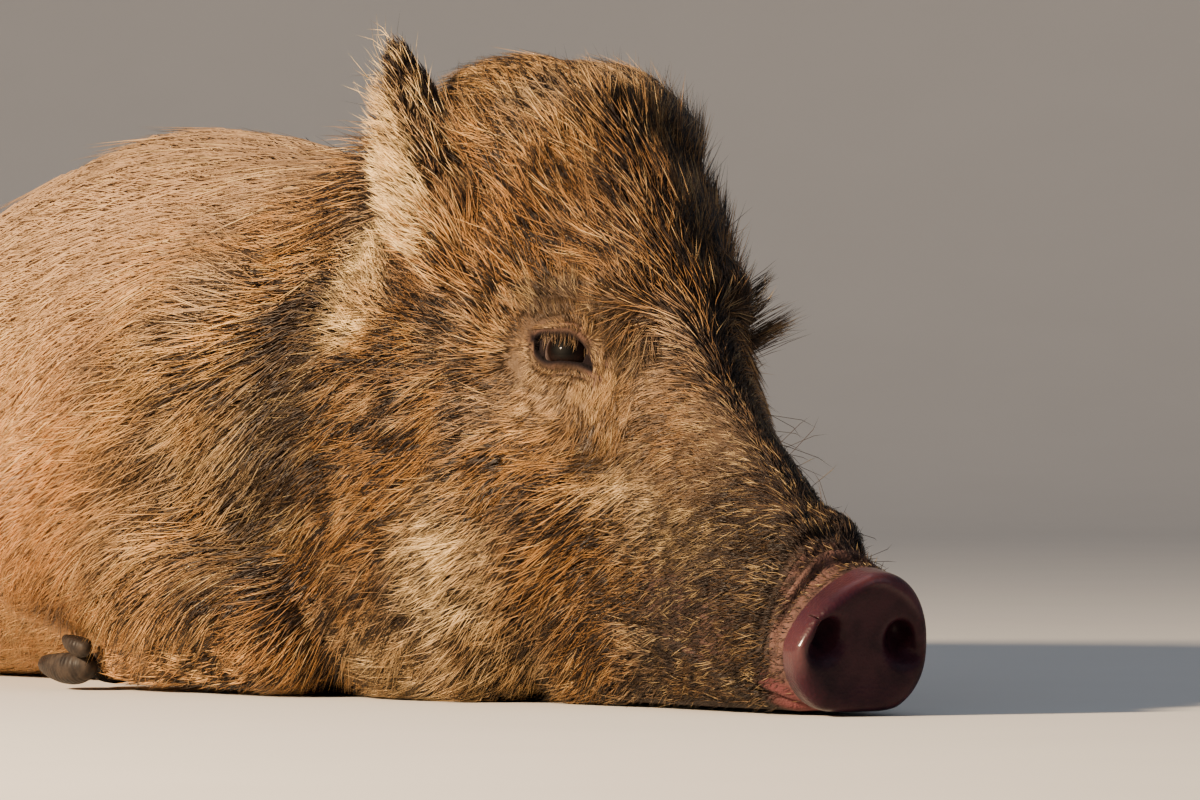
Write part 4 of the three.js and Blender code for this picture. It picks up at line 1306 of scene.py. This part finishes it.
class BOAR_OT_eyes(bpy.types.Operator):
    """Makes the two eyeballs, each with a clear bulge over its iris"""

    bl_idname = "boar.eyes"
    bl_label = "Eyes"

    def execute(self, context):
        material = eye_material()
        polar = np.linspace(0, math.pi, EYE_RINGS + 1)[1:-1]
        around = np.arange(EYE_SECTORS) * 2 * math.pi / EYE_SECTORS
        ball = [
            (math.sin(a) * math.cos(b), math.sin(a) * math.sin(b), math.cos(a))
            for a in polar for b in around
        ]
        ball = np.array(ball + [(0, 0, 1), (0, 0, -1)])
        wide = np.hypot(ball[:, 0], ball[:, 1]) * EYE_RADIUS
        ball = ball * (EYE_RADIUS + CORNEA * smooth(10.0, 4.0, wide) * (ball[:, 2] > 0))[:, None]
        top, low = len(ball) - 2, len(ball) - 1
        rows = range(0, top - EYE_SECTORS, EYE_SECTORS)
        ring = [(j, (j + 1) % EYE_SECTORS) for j in range(EYE_SECTORS)]
        faces = [(i + a, i + a + EYE_SECTORS, i + b + EYE_SECTORS, i + b) for i in rows for a, b in ring]
        faces += [(top, a, b) for a, b in ring]
        faces += [(low, top - EYE_SECTORS + b, top - EYE_SECTORS + a) for a, b in ring]
        gaze = unit(*(EYE_OUT + 0.12 * EYE_AHEAD + 0.13 * EYE_UP))
        right = unit(*np.cross(EYE_UP, gaze))
        up = np.cross(gaze, right)
        for name, side in (("eye_ball_left", 1), ("eye_ball_right", -1)):
            place = ball @ np.stack((right, up, gaze)) + EYE
            place = from_head((place * (1, side, 1)).T).T
            mesh = mesh_of(name, place, faces if side > 0 else [f[::-1] for f in faces])
            write_attribute(mesh, "gaze", ball)
            new_piece(name, mesh, material, "eye", name.replace("ball_", ""))
        return {"FINISHED"}


SAME_PLACE = 1e-5  # metres within which two corners of a claw are one
ROUNDINGS = 3


class BOAR_OT_hooves(bpy.types.Operator):
    """Makes rounded horn claws and dewclaws from the frame's plain ones"""

    bl_idname = "boar.hooves"
    bl_label = "Hooves"

    def execute(self, context):
        material = horn_material()
        for name, node in frame["nodes"].items():
            if "claw" not in name:
                continue
            mesh = node.data.copy()
            mesh.name = name + "_horn"
            mesh.materials.clear()
            work = bmesh.new()
            work.from_mesh(mesh)
            bmesh.ops.remove_doubles(work, verts=work.verts, dist=SAME_PLACE)
            bmesh.ops.subdivide_edges(work, edges=work.edges, cuts=2, use_grid_fill=True)
            axes = {"use_axis_" + axis: True for axis in "xyz"}
            for _ in range(ROUNDINGS):
                bmesh.ops.smooth_vert(work, verts=work.verts, factor=0.5, **axes)
            bmesh.ops.recalc_face_normals(work, faces=work.faces)
            work.to_mesh(mesh)
            work.free()
            new_piece(name + "_horn", mesh, material, "hoof", name)
        return {"FINISHED"}


PATCH_SIZE = 0.003  # of each bristle on the unwrapped skin
SPINDLE_BIAS = 1.5  # how far a bristle is widest towards its root
TUFT_TONE = 0.34  # the share of a bristle's tone that its whole tuft has in common
SWEEP = 0.34  # the most that a bristle bends to one side, as a share of its length
ABOVE_FLOOR = 0.0006  # no bristle goes lower than this
BRISTLE_INPUTS = {
    "Density": 1.0, "Length": 1.0, "Width": 1.0, "Clump size": 0.009, "Clump pull": 0.5, "Unevenness": 0.3,
    "Stray": 0.22, "Droop": 0.1, "Waver": 1.0, "Hug": 0.9, "Rings": 2, "Seed": 0, "Material": None,
}
SOCKET_KINDS = {float: "NodeSocketFloat", int: "NodeSocketInt", type(None): "NodeSocketMaterial"}


def bristle_tree():
    """Geometry nodes that grow bristles on a surface, from what its grow_ attributes say."""
    tree = bpy.data.node_groups.new("Bristles over a surface", "GeometryNodeTree")
    for way in ("INPUT", "OUTPUT"):
        tree.interface.new_socket("Geometry", in_out=way, socket_type="NodeSocketGeometry")
    for label, default in BRISTLE_INPUTS.items():
        socket = tree.interface.new_socket(label, in_out="INPUT", socket_type=SOCKET_KINDS[type(default)])
        if default is not None:
            socket.default_value = default
    nodes = Nodes(tree)
    given = nodes.add("NodeGroupInput").outputs

    def named(name, kind="FLOAT"):
        return nodes.out("GeometryNodeInputNamedAttribute", {"Name": name}, data_type=kind)

    def way(name):
        return named(name, "FLOAT_VECTOR")

    def store(geometry, name, value, kind="FLOAT", domain="POINT"):
        inputs = {"Geometry": geometry, "Name": name, "Value": value}
        return nodes.out("GeometryNodeStoreNamedAttribute", inputs, data_type=kind, domain=domain)

    def chance(low, high, salt):
        inputs = {0: low, 1: high, "Seed": nodes.plus(given["Seed"], float(salt))}
        return nodes.out("FunctionNodeRandomValue", inputs, data_type="FLOAT")

    def scaled(vector, factor):
        return nodes.vector("SCALE", vector, factor)

    def moved(vector, step):
        return nodes.vector("ADD", vector, step)

    # The roots, each with its own length, lean and tuft.
    density = nodes.times(named("grow_crowd"), given["Density"])
    inputs = {"Mesh": given["Geometry"], "Density": density, "Seed": given["Seed"]}
    roots = nodes.add("GeometryNodeDistributePointsOnFaces", inputs, distribute_method="RANDOM").outputs
    where = nodes.out("GeometryNodeInputPosition")
    points = store(roots["Points"], "grow_out", roots["Normal"], "FLOAT_VECTOR")
    uneven = nodes.plus(nodes.times(chance(-1.0, 1.0, 1), given["Unevenness"]), 1.0)
    points = store(points, "grow_long", nodes.times(named("grow_span"), uneven, given["Length"]))
    waver = nodes.out("ShaderNodeTexNoise", {"Vector": where, "Scale": 55.0, "Detail": 1.0})
    waver = nodes.times(nodes.minus(waver, 0.5), given["Waver"])
    stray = nodes.plus(nodes.times(chance(-1.0, 1.0, 2), given["Stray"]), waver)
    aside = nodes.vector("CROSS_PRODUCT", way("grow_out"), way("grow_lie"))
    lie = {0: moved(way("grow_lie"), scaled(aside, stray))}
    lie = nodes.out("ShaderNodeVectorMath", lie, operation="NORMALIZE")
    points = store(points, "grow_lie", lie, "FLOAT_VECTOR")
    tuft = nodes.cells(where, nodes.math("DIVIDE", 1.0, given["Clump size"]), "Position")
    points = store(points, "grow_tuft", nodes.vector("SUBTRACT", tuft, where), "FLOAT_VECTOR")
    shared = nodes.spread(nodes.noise(tuft, 210.0, 1.0), 0.35, 0.65, 0.0, TUFT_TONE, linear=True)
    points = store(points, "tone", nodes.plus(chance(0.0, 1.0 - TUFT_TONE, 3), shared))
    points = store(points, "grow_sweep", chance(-SWEEP, SWEEP, 4))

    # One bristle: a slim three-sided spindle from z = 0 to 1, widest nearer its root.
    spindle = nodes.out("GeometryNodeMeshUVSphere", {"Segments": 3, "Rings": given["Rings"], "Radius": 1.0})
    x, y, z = nodes.parts(where)
    height = nodes.spread(z, -1.0, 1.0, linear=True)
    spindle = store(spindle, "along", nodes.math("POWER", height, SPINDLE_BIAS))
    shape = nodes.combined(X=nodes.times(x, 0.5), Y=nodes.times(y, 0.5), Z=named("along"))
    spindle = nodes.out("GeometryNodeSetPosition", {"Geometry": spindle, "Position": shape})
    spindle = store(spindle, "grow_patch", where, "FLOAT_VECTOR")

    upright = nodes.out("FunctionNodeAlignRotationToVector", {"Vector": way("grow_lie")}, axis="Z")
    inputs = {"Rotation": upright, "Vector": way("grow_out")}
    turned = nodes.out("FunctionNodeAlignRotationToVector", inputs, axis="X", pivot_axis="Z")
    width = nodes.times(named("grow_girth"), given["Width"])
    size = nodes.combined(X=width, Y=width, Z=named("grow_long"))
    inputs = {"Points": points, "Instance": spindle, "Rotation": turned, "Scale": size}
    grown = nodes.out("GeometryNodeInstanceOnPoints", inputs)
    grown = nodes.out("GeometryNodeRealizeInstances", {"Geometry": grown})

    # Bends: up from the skin and over, round with it, to one side, into tufts, and down under their weight.
    along, long, out = named("along"), named("grow_long"), way("grow_out")
    squared, reached = nodes.times(along, along), nodes.times(along, long)
    rise = nodes.times(named("grow_lift"), nodes.minus(along, nodes.times(squared, 0.55)), long)
    hug = nodes.times(reached, reached, named("grow_curve"))
    aside = nodes.vector("CROSS_PRODUCT", out, way("grow_lie"))
    offset = scaled(out, rise)
    for bend in (
        scaled(out, nodes.times(hug, nodes.times(given["Hug"], -0.5))),
        scaled(aside, nodes.times(named("grow_sweep"), squared, long)),
        scaled(way("grow_tuft"), nodes.times(along, given["Clump pull"])),
        nodes.combined(Z=nodes.times(nodes.times(squared, long), nodes.times(given["Droop"], -1.0))),
    ):
        offset = moved(offset, bend)
    grown = nodes.out("GeometryNodeSetPosition", {"Geometry": grown, "Offset": offset})
    x, y, z = nodes.parts(where)
    kept = nodes.combined(X=x, Y=y, Z=nodes.math("MAXIMUM", z, ABOVE_FLOOR))
    grown = nodes.out("GeometryNodeSetPosition", {"Geometry": grown, "Position": kept})

    # Each bristle is a small patch at its root's place on the unwrapped skin.
    x, _, z = nodes.parts(scaled(way("grow_patch"), PATCH_SIZE))
    grown = store(grown, "OFBake", moved(way("grow_unwrap"), nodes.combined(X=x, Y=z)), "FLOAT2", "CORNER")
    inputs = {"Geometry": grown, "Name": "grow_*"}
    grown = nodes.out("GeometryNodeRemoveAttribute", inputs, pattern_mode="WILDCARD")
    grown = nodes.out("GeometryNodeSetMaterial", {"Geometry": grown, "Material": given["Material"]})
    nodes.add("NodeGroupOutput", {"Geometry": grown})
    return tree


def grow(tree, name, surface, material, settings):
    """Runs the bristle tree over a surface and keeps the result as a plain mesh piece."""
    modifier = surface.modifiers.new("bristles", "NODES")
    modifier.node_group = tree
    sockets = tree.interface.items_tree
    identifiers = {socket.name: socket.identifier for socket in sockets if socket.in_out == "INPUT"}
    for label, value in {**settings, "Material": material}.items():
        modifier[identifiers[label]] = value
    surface.update_tag()
    bpy.context.view_layer.update()
    evaluated = surface.evaluated_get(bpy.context.evaluated_depsgraph_get())
    mesh = bpy.data.meshes.new_from_object(evaluated, depsgraph=bpy.context.evaluated_depsgraph_get())
    surface.modifiers.remove(modifier)
    mesh.name = name
    return new_piece(name, mesh, material, "coat")


LONG_COATS = ("neck", "shoulder", "flank", "rump", "tail")
SEED_STEP = 10  # from one coat piece to the next
BODY_AXIS = 90.0  # height, in millimetres, of the line that the coat is unwrapped round


class BOAR_OT_coat(bpy.types.Operator):
    """Grows the coat over the skin in pieces: muzzle, face, forehead, ears, ruff, trunk, legs and tail"""

    bl_idname = "boar.coat"
    bl_label = "Coat"

    def execute(self, context):
        chosen = context.scene.boar_coat
        skin = bpy.data.objects["skin"]
        surface = link(bpy.data.objects.new("growing", skin.data.copy()))
        mesh = surface.data
        points = np.empty(len(mesh.vertices) * 3, np.float32)
        mesh.vertices.foreach_get("co", points)
        points = points.reshape(-1, 3) / MM - ORIGIN
        triangles = np.empty(len(mesh.polygons) * 3, np.int32)
        mesh.polygons.foreach_get("vertices", triangles)
        p, normals = points.T, normals_of(points, triangles.reshape(-1, 3)).T
        plan, share = coat_plan(p, normals)
        turn = np.arctan2(p[1], p[2] - BODY_AXIS) / (2 * math.pi) + 0.5
        length = (p[0] - p[0].min()) / np.ptp(p[0])
        unwrap = np.stack((0.01 + 0.98 * length, 0.01 + 0.98 * turn, 0 * turn), 1)  # with a margin of 0.01
        write_attribute(mesh, "grow_unwrap", unwrap)
        for name in ("bare", "rosy"):
            mesh.attributes.remove(mesh.attributes[name])
        write_attribute(mesh, "grow_curve", surface_curve(p, plan[0]))
        tree, material = bristle_tree(), hair_material()
        growths = [(name, None, (*plan[:4], plan[4] * part)) for name, part in share.items()]
        growths += list(sparse_hair(p, normals))
        for number, (name, marks, plan) in enumerate(growths):
            write_attribute(mesh, "grow_lie", plan[0].T)
            for label, values in zip(("grow_span", "grow_girth", "grow_lift", "grow_crowd"), plan[1:]):
                write_attribute(mesh, label, values)
            if marks:
                write_attribute(mesh, "marks", np.tile(marks, (len(points), 1)))
            long, lashes = name in LONG_COATS, name == "lashes"
            settings = {
                "Density": chosen.crowd, "Length": chosen.length, "Width": chosen.girth, "Unevenness": 0.4,
                "Clump size": chosen.clump * (2.2 if long else 0.6 if name == "muzzle" else 1.0),
                "Clump pull": 0.0 if marks else 0.16 if long else 0.38, "Droop": 0.12 if long else 0.03,
                "Stray": 0.04 if lashes else 0.18, "Waver": 0.1 if lashes else 0.9,
                "Rings": 3 if marks else 2, "Seed": chosen.seed + SEED_STEP * number,
            }
            grow(tree, "coat_" + name, surface, material, settings)
        bpy.data.objects.remove(surface)
        return {"FINISHED"}


TARGET = Vector((0.4068, -0.0858, 0.143))  # what the camera and the lights look at
FLOOR_REACH, FLOOR_SIDE, WALL_HEIGHT, CURVE_RADIUS, CURVE_STEPS = 6.0, 9.0, 5.0, 2.5, 16
LIGHT_DISTANCE = 2.6
# Name, setting for its power, colour, way to it as shares of camera's way, left and up, and size.
LIGHTS = (
    ("key", "key", (1.0, 0.75, 0.49), (0.50, 0.85, 0.42), 0.25),
    ("fill", "fill", (0.72, 0.82, 1.0), (0.6, -0.75, 0.5), 1.8),
    ("top", "fill", (0.9, 0.95, 1.0), (-0.3, 0.1, 1.0), 1.8),
)
SKY, SKY_STRENGTH = (0.70, 0.80, 1.0, 1), 0.22


def floor_material():
    """Pale and plain. From behind, the camera looks through the wall."""
    material, nodes, shader = new_material("floor", Roughness=0.85)
    tint = nodes.mix(nodes.noise(nodes.object_place(), 6.0), (0.66, 0.64, 0.60), (0.71, 0.69, 0.65))
    feed(nodes, shader, Base_Color=tint)
    camera_ray = nodes.out("ShaderNodeLightPath", output="Is Camera Ray")
    behind = nodes.times(nodes.out("ShaderNodeNewGeometry", output="Backfacing"), camera_ray)
    inputs = {0: behind, 1: shader.outputs[0], 2: nodes.out("ShaderNodeBsdfTransparent")}
    shown_through = nodes.out("ShaderNodeMixShader", inputs)
    nodes.tree.links.new(shown_through, nodes.tree.nodes["Material Output"].inputs["Surface"])
    return material


def aimed(name, data, place):
    """Links a camera or a light that looks at the target from a place."""
    thing = link(bpy.data.objects.new(name, data))
    thing.location = place
    thing.rotation_euler = (TARGET - place).to_track_quat("-Z", "Y").to_euler()
    return thing


class BOAR_OT_stage(bpy.types.Operator):
    """Sets the plain pale floor, soft lights and the camera"""

    bl_idname = "boar.stage"
    bl_label = "Stage"

    def execute(self, context):
        chosen = context.scene.boar_stage
        # A floor that curves up into a wall far behind her.
        start, radius = FLOOR_REACH - CURVE_RADIUS, CURVE_RADIUS
        arc = np.linspace(0, math.pi / 2, CURVE_STEPS + 1)[1:]
        line = [(-FLOOR_REACH, 0.0), (start, 0.0)]
        line += [(start + radius * math.sin(a), radius - radius * math.cos(a)) for a in arc]
        line.append((FLOOR_REACH, WALL_HEIGHT))
        turn = Matrix.Rotation(math.pi - chosen.azimuth, 4, "Z")
        points = [tuple(turn @ Vector((a, side * FLOOR_SIDE, b))) for a, b in line for side in (-1, 1)]
        faces = [(i, i + 2, i + 3, i + 1) for i in range(0, len(points) - 2, 2)]
        mesh = bpy.data.meshes.new("floor")
        mesh.from_pydata(points, [], faces)
        mesh.materials.append(floor_material())
        shade_smooth(mesh)
        floor = link(bpy.data.objects.new("floor", mesh))
        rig.stage(floor)

        away = Vector((math.cos(chosen.azimuth), -math.sin(chosen.azimuth), 0))
        left = Vector((-math.sin(chosen.azimuth), -math.cos(chosen.azimuth), 0))
        camera = bpy.data.cameras.new("camera")
        camera.lens = chosen.lens
        place = TARGET + away * chosen.distance
        place.z = chosen.height
        context.scene.camera = aimed("camera", camera, place)
        for name, power, tint, (ahead, aside, up), size in LIGHTS:
            light = bpy.data.lights.new(name, "AREA")
            light.energy, light.color, light.size = getattr(chosen, power), tint, size
            way = ahead * away + aside * left + up * Vector((0, 0, 1))
            aimed(name, light, TARGET + way.normalized() * LIGHT_DISTANCE)

        world = bpy.data.worlds.new("world")
        world.use_nodes = True
        background = world.node_tree.nodes["Background"].inputs
        background["Color"].default_value, background["Strength"].default_value = SKY, SKY_STRENGTH
        context.scene.world = world
        return {"FINISHED"}


class BOAR_PT_panel(bpy.types.Panel):
    """Lists the boar's pieces and their settings"""

    bl_label = "Wild boar at rest"
    bl_idname = "BOAR_PT_panel"
    bl_space_type = "VIEW_3D"
    bl_region_type = "UI"
    bl_category = "Boar"

    def draw(self, context):
        for operator, settings in PIECES:
            self.layout.operator(operator.bl_idname)
            group = getattr(context.scene, settings, None) if settings else None
            for name in group.bl_rna.properties.keys() if group else ():
                if name not in ("rna_type", "name"):
                    self.layout.prop(group, name)


PIECES = (
    (BOAR_OT_skin, "boar_skin"),
    (BOAR_OT_eyes, None),
    (BOAR_OT_hooves, None),
    (BOAR_OT_coat, "boar_coat"),
    (BOAR_OT_stage, "boar_stage"),
)
SETTINGS = {"boar_skin": BoarSkinSettings, "boar_coat": BoarCoatSettings, "boar_stage": BoarStageSettings}


def register():
    for name, settings in SETTINGS.items():
        bpy.utils.register_class(settings)
        setattr(bpy.types.Scene, name, PointerProperty(type=settings))
    for operator, _ in PIECES:
        bpy.utils.register_class(operator)
    bpy.utils.register_class(BOAR_PT_panel)


def unregister():
    bpy.utils.unregister_class(BOAR_PT_panel)
    for operator, _ in reversed(PIECES):
        bpy.utils.unregister_class(operator)
    for name, settings in SETTINGS.items():
        delattr(bpy.types.Scene, name)
        bpy.utils.unregister_class(settings)


def main():
    register()
    for operator, _ in PIECES:
        group, name = operator.bl_idname.split(".")
        getattr(getattr(bpy.ops, group), name)()
    sizes = {"cad": [list(corner) for corner in CAD_BOX], "visual": [list(corner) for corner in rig.bounds()]}
    with open("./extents.json", "w") as file:
        json.dump(sizes, file)


if __name__ == "__main__":
    main()
